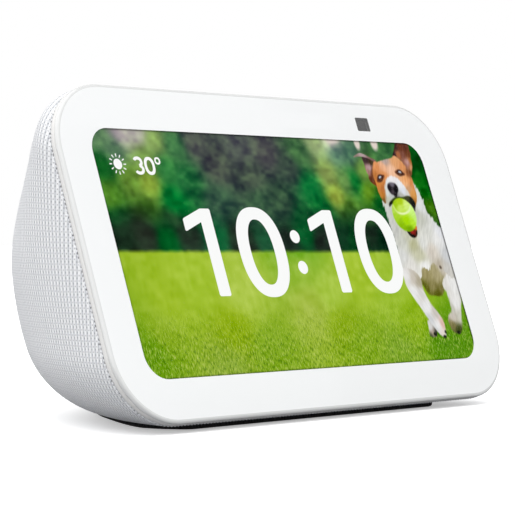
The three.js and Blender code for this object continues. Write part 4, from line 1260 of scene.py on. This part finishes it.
strip_profile = [(0.0, STRIP_TOP - 1.3), (0.0, STRIP_TOP - 0.3), (0.09, STRIP_TOP - 0.09), (0.3, STRIP_TOP)]
control_strip = make_mesh(
    "control_strip", *pill_block(STRIP_WIDE, STRIP_DEEP, 0.0, strip_profile, 20), [white_plastic]
)
through = [(0.0, STRIP_TOP - 3), (0.0, STRIP_TOP + 3)]
cutters = [
    pill_block(BUTTON_WIDE + 2 * BUTTON_GAP, BUTTON_DEEP + 2 * BUTTON_GAP, x, through)
    for x in BUTTON_PLACES.values()
]
cutters.append(pill_block(SHUTTER_TRAVEL + 5.4, 3.2, SHUTTER_REST + SHUTTER_TRAVEL / 2, through))
cutters += [pill_block(1.002, 1.0, x, through, 5) for x in MICROPHONE_PLACES]
cut_out(control_strip, cutters)
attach(control_strip, "body")
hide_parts("control_panel")
cut_out(knitted_cover, [pill_block(STRIP_WIDE + 0.3, STRIP_DEEP + 0.3, 0.0, [(0.0, 30), (0.0, 50)], 20)])

grey_print = grained("grey_print", srgb(120, 122, 124), 0.05, 0.6, 3000.0, 0.000005)
BUTTON_PROFILE = [
    (-1.0, 40.2), (-1.0, 41.0), (0.0, 41.0), (0.0, BUTTON_TOP - 0.3), (0.09, BUTTON_TOP - 0.09),
    (0.3, BUTTON_TOP), (0.7, BUTTON_TOP), (1.3, BUTTON_TOP - 0.05), (2.0, BUTTON_TOP - 0.08),
]
MARK_LEVEL = BUTTON_TOP - 0.08


def mark_place(x, y, level):
    """A point of a printed mark, seen from above: x across, y towards the back."""
    return on_face(x, MARK_LEVEL + 0.03 * level, STRIP_BACK + y)


def mark_bar(x, wide, tall, lean=0.0):
    """A printed bar with round ends."""
    outline = rounded_outline(wide, tall, min(wide, tall) / 2 - 0.001, 6)
    turn = math.radians(lean)
    turned = outline @ np.array([[math.cos(turn), math.sin(turn)], [-math.sin(turn), math.cos(turn)]])
    return plate_over(turned + (x, 0), mark_place)


def mute_mark(x):
    """A struck-through ring."""
    outer = arc((x, 0), 1.35, 1.35, 0, 360, 1.0, 41)[:-1]
    inner = arc((x, 0), 1.05, 1.05, 0, 360, 1.0, 41)[:-1]
    return [plate_of(outer, inner, mark_place), mark_bar(x, 2.5, 0.3, 45)]


MARKS = {
    "mute_button": mute_mark,
    "volume_down_button": lambda x: [mark_bar(x, 2.6, 0.36)],
    "volume_up_button": lambda x: [mark_bar(x, 2.6, 0.36), mark_bar(x, 0.36, 2.6)],
}
for button_name, x in BUTTON_PLACES.items():
    cap = make_mesh(
        button_name + "_cap", *pill_block(BUTTON_WIDE, BUTTON_DEEP, x, BUTTON_PROFILE), [white_plastic]
    )
    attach(cap, button_name)
    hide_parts(button_name)
    mark = make_mesh(button_name + "_mark", *join_shells(MARKS[button_name](x)), [grey_print])
    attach(mark, button_name)


# ---- Camera shutter ----------------------------------------------------------------------------
# One white moulding: a ribbed knob on top, a stem down through the slot, and an arm that carries
# a thin blade behind the glass. Pushed right, the blade covers the camera's window.


def rounded_bar(x0, x1, up0, up1, back0, back1, soft=0.12):
    """A bar in the face's directions with its long edges rounded."""
    outline = rounded_outline(x1 - x0, up1 - up0, soft, 3, ((x0 + x1) / 2, (up0 + up1) / 2))
    shrink = 1 - soft / max(x1 - x0, up1 - up0)
    middle = outline.mean(0)
    inner = middle + (outline - middle) * shrink
    ends = [(inner, back0), (outline, back0 + soft), (outline, back1 - soft), (inner, back1)]
    return loft([on_face(*loop.T, back) for loop, back in ends])


x = SHUTTER_REST
knob_profile = [(0.0, 43.0), (0.0, 43.5), (0.12, 43.78), (0.4, 43.9)]
shutter_shells = [
    pill_block(7.5, 4.6, x, knob_profile),
    rounded_bar(x - 1.5, x + 1.5, 38.9, 43.2, STRIP_BACK - 1.2, STRIP_BACK + 1.2),
    rounded_bar(x - 2.5, x + 2.5, 38.9, 39.6, 1.5, STRIP_BACK + 1.2),
    rounded_bar(x - 4.2, x + 4.2, 32.8, 39.6, 1.5, 1.9, 0.1),
]
for ridge in (-1.5, 0.0, 1.5):
    ridge_bar = rounded_bar(
        x + ridge - 0.3, x + ridge + 0.3, 43.7, 44.15, STRIP_BACK - 1.5, STRIP_BACK + 1.5, 0.2
    )
    shutter_shells.append(ridge_bar)
shutter = make_mesh("shutter", *join_shells(shutter_shells), [white_plastic])
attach(shutter, "camera_shutter")
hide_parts("shutter_slider")


# ---- Power inlet -------------------------------------------------------------------------------
# A white collar that follows the cover's curve low on the back, round a black barrel jack that
# sits well inside it with its sprung centre pin.

PORT_Z = 16.0
PORT_RADIUS = 6.5
PORT_BORE = 4.3
PORT_DEEP_Y = 31.4


def rear_at(x, z):
    """The Y of the cover's rear at a place across and a height."""
    heights = cover_grid[widest_row : widest_row + 44, 91]
    rear = np.interp(z, heights[::-1, 2], heights[::-1, 1])
    power = squareness(z)
    side = np.abs(x) / half_width_at(z)
    back = np.sqrt(np.clip(1 - side ** (2 / power), 0, 1)) ** power
    return front_at(z) + (rear - front_at(z)) * back


def port_loop(radius, inward):
    """A ring round the port's axis on the cover's surface, or that far inside it."""
    turn = np.radians(np.arange(0, 360, 7.5))
    x = radius * np.cos(turn)
    z = PORT_Z + radius * np.sin(turn)
    y = (
        np.maximum(rear_at(x, z) - inward, PORT_DEEP_Y)
        if inward is not None
        else np.full(len(x), PORT_DEEP_Y)
    )
    return np.stack([x, y, z], 1) * MM


collar_loops = [
    port_loop(PORT_BORE, None), port_loop(PORT_BORE, 0.6), port_loop(PORT_BORE + 0.15, 0.2),
    port_loop(PORT_BORE + 0.5, 0.03), port_loop(PORT_RADIUS - 0.5, 0.02), port_loop(PORT_RADIUS - 0.12, 0.12),
    port_loop(PORT_RADIUS, 0.4), port_loop(PORT_RADIUS, None),
]
collar = make_mesh("inlet_collar", *loft(collar_loops, ring=True), [white_plastic])
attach(collar, "body")
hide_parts("port_trim")
hole_turn = np.radians(np.arange(0, 360, 7.5))
hole = [
    np.stack(
        [
            (PORT_RADIUS + 0.1) * np.cos(hole_turn),
            np.full(len(hole_turn), y),
            PORT_Z + (PORT_RADIUS + 0.1) * np.sin(hole_turn),
        ],
        1,
    )
    * MM
    for y in (25.0, 60.0)
]
cut_out(knitted_cover, [loft(hole)])


# ---- Everything that stays as it was cut -------------------------------------------------------
# Parts behind the screen and the cover, and the camera behind its window: each is given the finish
# of its real stuff, from black moulded plastic to plated steel, laminate, foam and paper pulp.

black_plastic = grained("black_plastic", srgb(38, 39, 41), 0.15, 0.5, 1800.0, 0.00002)
bright_steel = grained("bright_steel", srgb(186, 188, 190), 0.05, 0.32, 900.0, 0.000006, {"Metallic": 1.0})
cast_aluminium = grained("cast_aluminium", srgb(200, 202, 204), 0.06, 0.42, 700.0, 0.00001, {"Metallic": 1.0})
green_laminate = grained("green_laminate", srgb(30, 92, 58), 0.2, 0.45, 500.0, 0.00002)
chip_black = grained("chip_black", srgb(26, 27, 29), 0.15, 0.45, 1200.0, 0.00001)
gilt_contact = grained("gilt_contact", srgb(206, 160, 84), 0.08, 0.28, 900.0, 0.000005, {"Metallic": 1.0})
amber_ribbon = grained("amber_ribbon", srgb(182, 108, 34), 0.12, 0.4, 300.0, 0.00001)
lens_glass = grained("lens_glass", srgb(12, 14, 24), 0.3, 0.05, 60.0, 0.0, {"Coat Weight": 1.0})
paper_cone = grained("paper_cone", srgb(46, 42, 38), 0.3, 0.9, 500.0, 0.00006)
black_foam = grained("black_foam", srgb(32, 32, 34), 0.3, 0.95, 900.0, 0.0001)
dark_panel = grained("dark_panel", srgb(16, 18, 18), 0.2, 0.2, 80.0, 0.0)

FINISHES = [
    (dark_panel, ["display_panel"]),
    (bright_steel, ["backlight_unit", "shield_can", "camera_bracket", "microphone_left", "microphone_right"]),
    (black_plastic, ["display_tray", "rear_housing", "base_plate", "power_jack", "speaker_enclosure"]),
    (black_plastic, ["speaker_baffle", "speaker_basket"]),
    (amber_ribbon, ["display_flex"]),
    (green_laminate, ["main_board", "switch_board", "jack_board", "antenna_left", "antenna_right"]),
    (cast_aluminium, ["heat_spreader"]),
    (chip_black, ["camera_module", "mute_switch", "volume_down_switch", "volume_up_switch"]),
    (lens_glass, ["camera_lens"]),
    (gilt_contact, ["jack_pin", "voice_coil"]),
    (bright_steel, ["speaker_magnet", "speaker_yoke"]),
    (paper_cone, ["speaker_cone", "dust_cap"]),
    (black_foam, ["speaker_surround", "speaker_gasket"]),
    (bright_steel, [f"{kind}_screw_{n}" for kind in ("board", "base", "speaker") for n in range(1, 5)]),
]
for finish, names in FINISHES:
    for name in names:
        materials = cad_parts[name].data.materials
        materials.clear()
        materials.append(finish)
